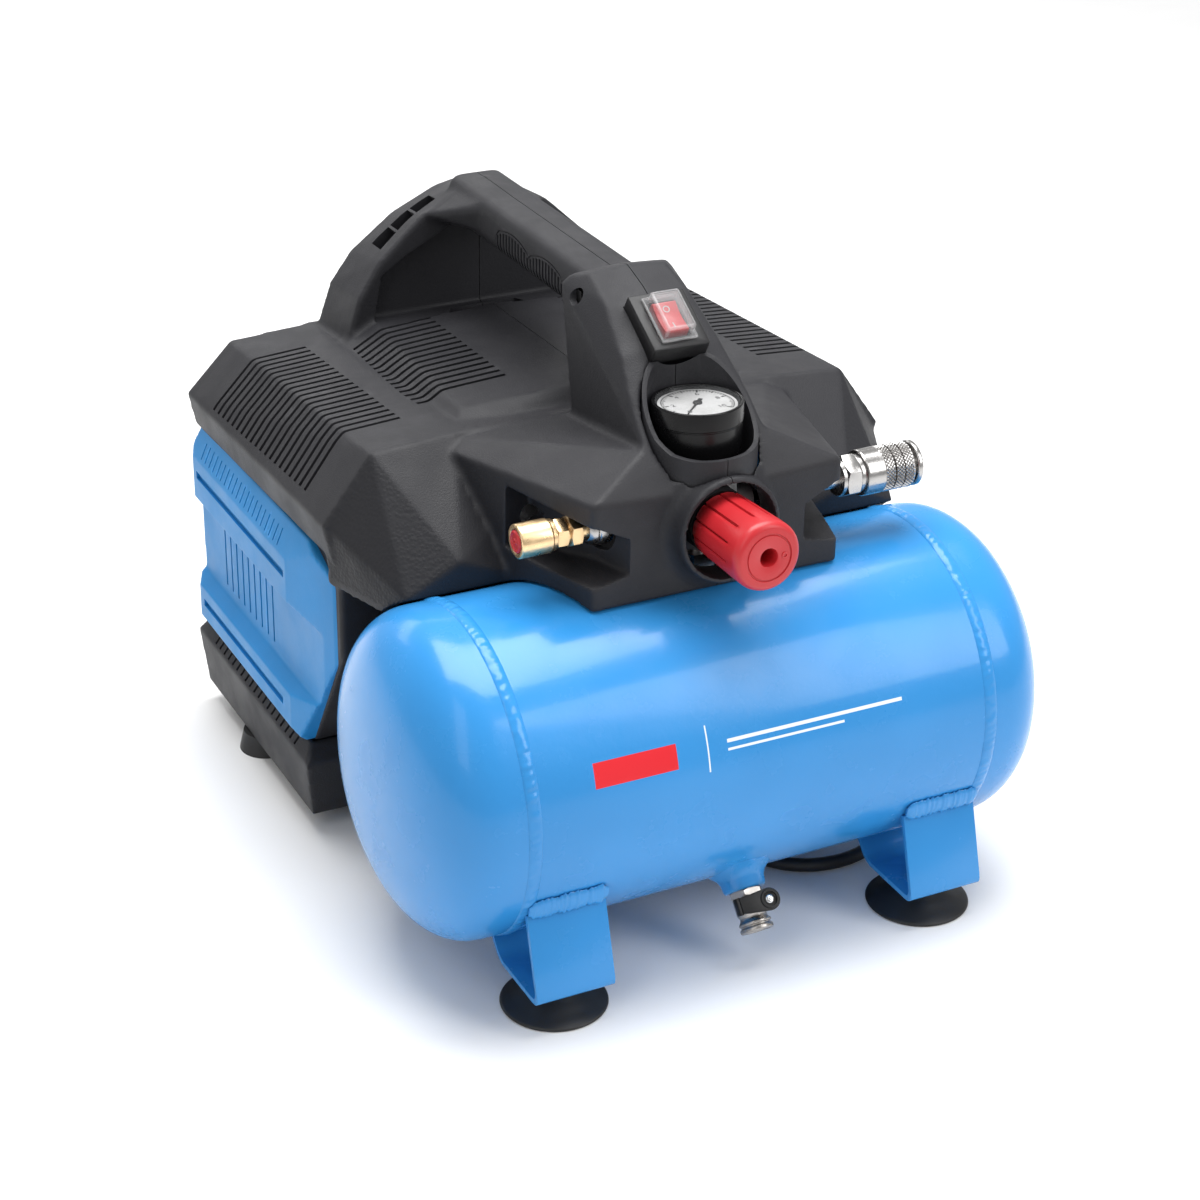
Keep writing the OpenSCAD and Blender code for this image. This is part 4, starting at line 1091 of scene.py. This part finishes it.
rocker = slab(rounded([(-9.1, 1), (-8.7, 8.3), (0, 6.6), (8.7, 8.3), (9.1, 1), (4.5, -4), (-4.5, -4)],
    [1, 1.2, 5, 1.2, 1, 2, 2], 5), -6.1, 6.1, SWITCH, "X")
boolean(rocker, cyl(2, -8, 8, PIVOT, 32))
bevel(rocker, 0.5, 3, 40)
stand_for(rocker, red_plastic, "switch_rocker", body="rocker", sharp=35)
mark_o = lathe([(1.25, 0), (1.75, 0), (1.75, 0.22), (1.25, 0.22)], SWITCH @ move(0, 4.7, 7.38) @ rot_x(11),
    40, closed=True)
mark_i = block((-0.3, 0.3), (-1.6, 1.6), (0, 0.22), SWITCH @ move(0, -4.7, 7.38) @ rot_x(-11))
marks = joined([mark_o, mark_i])
stand_for(marks, dial, body="rocker", name="rocker_marks")

skirt = block((-9.3, 9.3), (-13.3, 13.3), (6.0, 7.5), SWITCH)
dome = block((-7.5, 7.5), (-11.4, 11.4), (7.0, 13.9), SWITCH)
bevel(skirt, 0.6, 2)
bevel(dome, 1.3, 4)
boolean(skirt, dome, "UNION")
room = bevel(block((-6.7, 6.7), (-10.6, 10.6), (4, 13.0), SWITCH), 0.8, 3)
boolean(skirt, room)
stand_for(skirt, boot_clear, "switch_boot", sharp=35)
# painted highlight: the boot's faces that are off its main axes get the paler copy
repaint(skirt, boot_painted_highlight, lambda f: max(abs(k) for k in SWITCH.inverted().to_3x3() @ f.normal) < 0.985)

# ---------- safety valve ----------
VALVE = CENTRE @ rot_y(-90)
barrel = lathe(rounded([(3.1, 26), (5, 26), (5, 62), (6.6, 62), (6.6, 68), (5.4, 68), (5.3, 69), (6.2, 69),
    (6.2, 75), (7.5, 75), (7.6, 77.2), (8.2, 77.8), (8.2, 93.4), (5.6, 93.4), (5.6, 66), (3.1, 66)],
    [0, 0, 0, 0.3, 0.3, 0.3, 0.3, 0, 0.4, 0.4, 0.2, 0.5, 0.8, 0.5, 0, 0], 4), VALVE, 96, closed=True)
nuts = [hexagon(14, 62.2, 67.8, VALVE, 1.1), hexagon(13, 69.1, 75, VALVE, 1.0)]
for o in nuts:
    boolean(o, cyl(6.0, 40, 80, VALVE))
    bevel(o, 0.18, 2, 25)
valve = joined([barrel] + nuts)
stand_for(valve, brass, "safety_valve_body", sharp=30, name="safety_valve_skin")
nipple = lathe(rounded([(5.05, 47), (8.2, 47), (8.7, 49), (8.7, 53.4), (8.0, 54.0), (8.0, 54.6),
    (8.6, 55.2), (8.2, 57.6), (6.6, 59.2), (5.05, 59.2)], [0, 0.5, 0.5, 0.3, 0.3, 0.3, 0.6, 1.2, 0.6, 0],
    4), VALVE, 96, closed=True)
stand_for(nipple, nickel, name="safety_valve_nipple")
disc = lathe(rounded([(0.01, 66), (4.8, 66), (4.8, 67.5), (1.8, 67.6), (1.8, 91.8), (5.35, 91.8),
    (5.4, 93.5), (4.7, 94.1), (4.2, 94.05), (3.8, 93.6), (1.7, 93.6), (1.4, 94.2), (0.9, 94.2), (0.7, 93.3),
    (0.01, 93.2)], [0, 0, 0, 0, 0, 0.1, 0.5, 0.3, 0.2, 0.2, 0.2, 0.2, 0.2, 0.2, 0], 3), VALVE, 72)
stand_for(disc, red_plastic, "safety_valve_stem", body="relief_stem")

# ---------- quick coupler ----------
body = lathe(rounded([(3.5, 26), (5, 26), (5, 75.5), (9.2, 75.5), (9.2, 77.5), (9.3, 77.5), (9.3, 85.4),
    (9.6, 85.7), (9.6, 92), (7.6, 92), (7.6, 116.3), (10.5, 116.3), (11.2, 116.9), (11.2, 118.8),
    (10.4, 119.4), (6.9, 119.4), (5.4, 118), (5.4, 97), (3.5, 97)],
    [0, 0, 0, 0.4, 0, 0, 0, 0.2, 0.6, 0.3, 0.2, 0.3, 0.4, 0.5, 0.5, 0.5, 0.5, 0, 0], 4), CROSS_X, 128,
    closed=True)
nut = hexagon(19, 77.5, 85.5, CROSS_X, 1.7)
boolean(nut, cyl(9.0, 70, 95, CROSS_X, 64))
bevel(nut, 0.22, 2, 25)
collar = lathe(rounded([(5.05, 34), (8.4, 34), (8.6, 35), (8.6, 45), (8.2, 46), (5.05, 46)],
    [0, 0.4, 0.4, 0.5, 0.5, 0], 3), CROSS_X, 96, closed=True)
body = joined([body, nut, collar])
stand_for(body, nickel, "coupler_body", sharp=30)


def knurl_sleeve():
    """The sliding sleeve: a plain skirt, then a diamond knurl with two turned grooves across it."""
    foot, end, pitch = 98, 114.1, 2 * pi / 36
    rows = [(9.8, 88.5), (11.1, 88.2), (11.4, 88.7), (11.4, 97.6), (11.2, 97.9)]
    h = 98.1
    while h < end:
        rows.append((11.3, h))
        h += 0.16
    rows += [(11.0, 114.2), (9.6, 114.3), (7.66, 114.3), (7.66, 96), (9.8, 95.9)]

    def teeth(r, h, a, k):
        if not 4 < k < len(rows) - 5:
            return r
        if abs(h - 103.5) < 0.2 or abs(h - 108.8) < 0.2:
            return r - 0.75
        twist = (h - foot) / 11.2
        u = abs(((a + twist) / pitch) % 1 - 0.5) * 2
        v = abs(((a - twist) / pitch) % 1 - 0.5) * 2
        edge = min(1, (h - foot) / 0.5, (end - h) / 0.5)
        return r - 0.62 * (1 - min(u, v)) ** 1.5 * max(edge, 0) + 0.1

    return lathe(rows, CROSS_X, 560, closed=True, radius_of=teeth)


sleeve = knurl_sleeve()
stand_for(sleeve, nickel, "coupler_sleeve", body="sleeve", sharp=28)


def in_groove(f):
    """Whether a face is deep in the knurl, where the sleeve gets painted shade."""
    c = CROSS_X.inverted() @ f.center / MM
    return 98.2 < c.z < 114 and 9 < hypot(c.x, c.y) < 10.92


# painted shade: the faces deep in the knurl get the dark metal
repaint(sleeve, knurl_painted_shade, in_groove)

# ---------- drain valve ----------
STEM = DRAIN @ move(5, 0, 98) @ rot_x(90)
tap = lathe(rounded([(3, 82), (5, 82), (5, 90), (6.8, 90), (6.8, 93), (7.5, 93.4), (7.5, 101.6),
    (6.5, 103.2), (6.9, 104.6), (8.1, 105.8), (7.9, 106.8), (7.2, 107.2), (7.3, 107.8), (8.2, 108.4),
    (8.2, 110), (7.6, 110.5), (6.4, 110.5), (6.0, 109.8), (6, 105), (3, 105)],
    [0, 0, 0, 0, 0, 0.5, 1.4, 1.2, 1, 0.8, 0.4, 0.3, 0.3, 0.4, 0.4, 0.4, 0.4, 0.4, 0, 0], 4), DRAIN, 96,
    closed=True)
nut = hexagon(15, 90, 93.2, DRAIN, 1.0)
boolean(nut, cyl(6.5, 80, 100, DRAIN))
lug = lathe(rounded([(3.5, -6), (4.8, -6), (4.8, 9.4), (3.5, 9.6)], [0, 0.5, 0.5, 0], 3), STEM, 48,
    closed=True)
tap = joined([tap, nut, lug])
stand_for(tap, valve_metal, "drain_body", sharp=32)
head = [(5.5 * cos(a), 5.5 * sin(a)) for a in [radians(-90 + 180 * k / 20) for k in range(21)]]
arm = head + rounded([(-15.4, 4.9), (-15.4, -4.9)], 1.1, 4)
lever = slab(arm, 10.6, 12.9, STEM)
boolean(lever, cyl(3.6, 12.1, 14, STEM, 48))
rim = lathe(rounded([(3.5, 12.6), (4.9, 12.6), (4.8, 13.4), (3.6, 13.5)], [0, 0, 0.4, 0.3], 3), STEM, 64,
    closed=True)
tip = bevel(slab(rounded([(-17, -4.2), (-15.0, -4.2), (-15.0, 4.2), (-17, 4.2)], [0.6, 0, 0, 0.6], 3), 8.8,
    12.4, STEM), 0.4, 2, 30)
bevel(lever, 0.4, 3, 40)
lever = joined([lever, tip, rim])
stand_for(lever, black_satin, "drain_lever", body="drain_tap", sharp=35)
screw = lathe(rounded([(0.01, 10.2), (2.3, 10.2), (2.3, 12.9), (1.6, 13.4), (0.01, 13.55)],
    [0, 0, 0.5, 0.6, 0], 4), STEM, 48)
cross = [block((-1.4, 1.4), (-0.3, 0.3), (12.8, 14), STEM @ rot_z(a)) for a in (35, 125)]
boolean(screw, cross)
stem = lathe(rounded([(0.01, -3.5), (3.35, -3.5), (3.35, 10.6), (0.01, 10.6)], [0, 0.4, 0.4, 0], 3), STEM,
    48)
stem = joined([stem, screw])
stand_for(stem, zinc, "drain_plug", body="drain_tap", sharp=35)

# ---------- mains lead: strain relief and plug ----------
ribs = [(3.6, 0), (5.9, 0), (5.9, 4), (8, 4), (8, 8), (6.2, 8)]
for i in range(6):
    r, h = 6.1 - 0.22 * i, 10 + 4 * i
    ribs += [(r - 0.1, h), (r, h + 0.2), (r - 0.1, h + 2.4), (r - 1.0, h + 2.7), (r - 1.1, h + 3.6)]
ribs += [(4.55, 34), (4.5, 35), (3.6, 35)]
relief = lathe(rounded(ribs, 0.25, 2), at(30, 136, 30) @ rot_x(90), 64, closed=True)
stand_for(relief, rubber, "strain_relief")

PLUG = at(PLUG_X, PLUG_Y, 0) @ rot_z(180)  # its own X runs from the lead to the pins
top_view = rounded([(0, -7), (8, -9), (15, -14.4), (33.8, -14.8), (33.8, 14.8), (15, 14.4), (8, 9), (0, 7)],
    [2, 6, 6, 3, 3, 6, 6, 2], 5)
side_view = rounded([(0, 3.4), (10, 1), (33.8, 0.2), (33.8, 21.8), (10, 21), (0, 18.6)], [2, 5, 3, 3, 5, 2],
    5)
grip = slab(top_view, 0, 22, PLUG)
boolean(grip, slab(side_view, -16, 16, PLUG, "Y"), "INTERSECT")
bevel(grip, 1.6, 4, 30)
soften(grip, 0.6, 6, 0.5)
for y in ((12.2, 17), (-17, -12.2)):
    boolean(grip, [block((12 + 3.4 * i, 13.3 + 3.4 * i), y, (4, 18), PLUG) for i in range(5)])
shade(grip, 35)
sheath = lathe(rounded([(3.4, -9.6), (4.5, -9.6), (4.7, -7), (4.2, -6.6), (4.9, -5.8), (5.0, -3.4),
    (4.4, -3), (5.3, -2.2), (5.6, 1.2), (3.4, 1.2)], [0, 0.4, 0.4, 0.2, 0.3, 0.4, 0.2, 0.3, 0, 0], 3),
    PLUG @ move(0, 0, PLUG_Z) @ rot_y(90), 48, closed=True)
plug = joined([grip, sheath])
stand_for(plug, black_satin, "plug")
prongs = []
for s in (-1, 1):
    prongs.append(lathe(rounded([(0.01, 33), (2.4, 33), (2.4, 50.4), (1.5, 52.8), (0.01, 53)],
        [0, 0, 1, 0.8, 0], 4), PLUG @ move(0, s * 9.5, PLUG_Z) @ rot_y(90), 40))
prongs = joined(prongs)
stand_for(prongs, nickel, sharp=40, name="plug_pins")

# ---------- CAD nodes that keep their shape ----------
KEPT = {"foot_bolts": zinc, "rear_feet": rubber, "riser_nipple": nickel, "regulator_body": cast,
    "regulator_bonnet": black_satin, "regulator_spring": zinc, "pressure_switch": black_satin,
    "check_valve": brass, "delivery_tube": cast, "housing_screws": black_steel,
    "motor_stator": steel_sheets, "motor_end_bell": cast, "motor_rotor": steel_sheets, "motor_shaft": zinc,
    "shaft_bearings": zinc, "motor_fan": black_satin, "crankcase": cast, "crank_eccentric": valve_metal,
    "rod_bearing": zinc, "connecting_rod": cast, "piston": cast, "pump_cylinder": cast, "valve_plate": zinc,
    "cylinder_head": cast, "intake_filter": black_satin}
for name, material in KEPT.items():
    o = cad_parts[name]
    if o.material_slots:
        for k in o.material_slots:
            k.material = material.m
    else:
        o.data.materials.append(material.m)

# ---------- floor, light ----------
floor = new_object([(-4000, -4000, 0), (4000, -4000, 0), (4000, 4000, 0), (-4000, 4000, 0)], [(0, 1, 2, 3)])
floor.name = "floor"


def floor_card():
    n = Nodes("floor")
    n.set(color=n.mix(n.range(n.noise(3, 3), 0.3, 0.7, 0, 1), (0.93, 0.93, 0.93), (0.9, 0.9, 0.9)),
          rough=n.range(n.noise(30, 3), 0.3, 0.7, 0.5, 0.6), normal=n.bump(n.noise(300, 2), 0.02, 0.0003))
    return n


dress(floor, floor_card())

world = bpy.data.worlds.new("studio")
bpy.context.scene.world = world
world.use_nodes = True
world.node_tree.nodes["Background"].inputs[0].default_value = (1, 1, 1, 1)
world.node_tree.nodes["Background"].inputs[1].default_value = 0.5
bpy.context.scene.view_settings.view_transform = "Standard"


def area(name, spot, target, size, power):
    light = bpy.data.lights.new(name, "AREA")
    light.shape = "RECTANGLE"
    light.size, light.size_y = size
    light.energy = power
    o = as_object(name, light)
    o.location = spot
    o.rotation_euler = (Vector(target) - Vector(spot)).to_track_quat("-Z", "Y").to_euler()


area("key", (-1.1, -0.8, 1.2), (0, 0, 0.12), (0.5, 1.3), 3.5)
area("fill", (0.9, -1.25, 1.15), (0, 0, 0.12), (0.6, 1.2), 11)
area("back", (0, 2.7, 1.5), (0, 2.4, 0), (3.2, 1.0), 26)
area("top", (0.1, 0.2, 1.7), (0, 0, 0.12), (1.5, 1.1), 41)
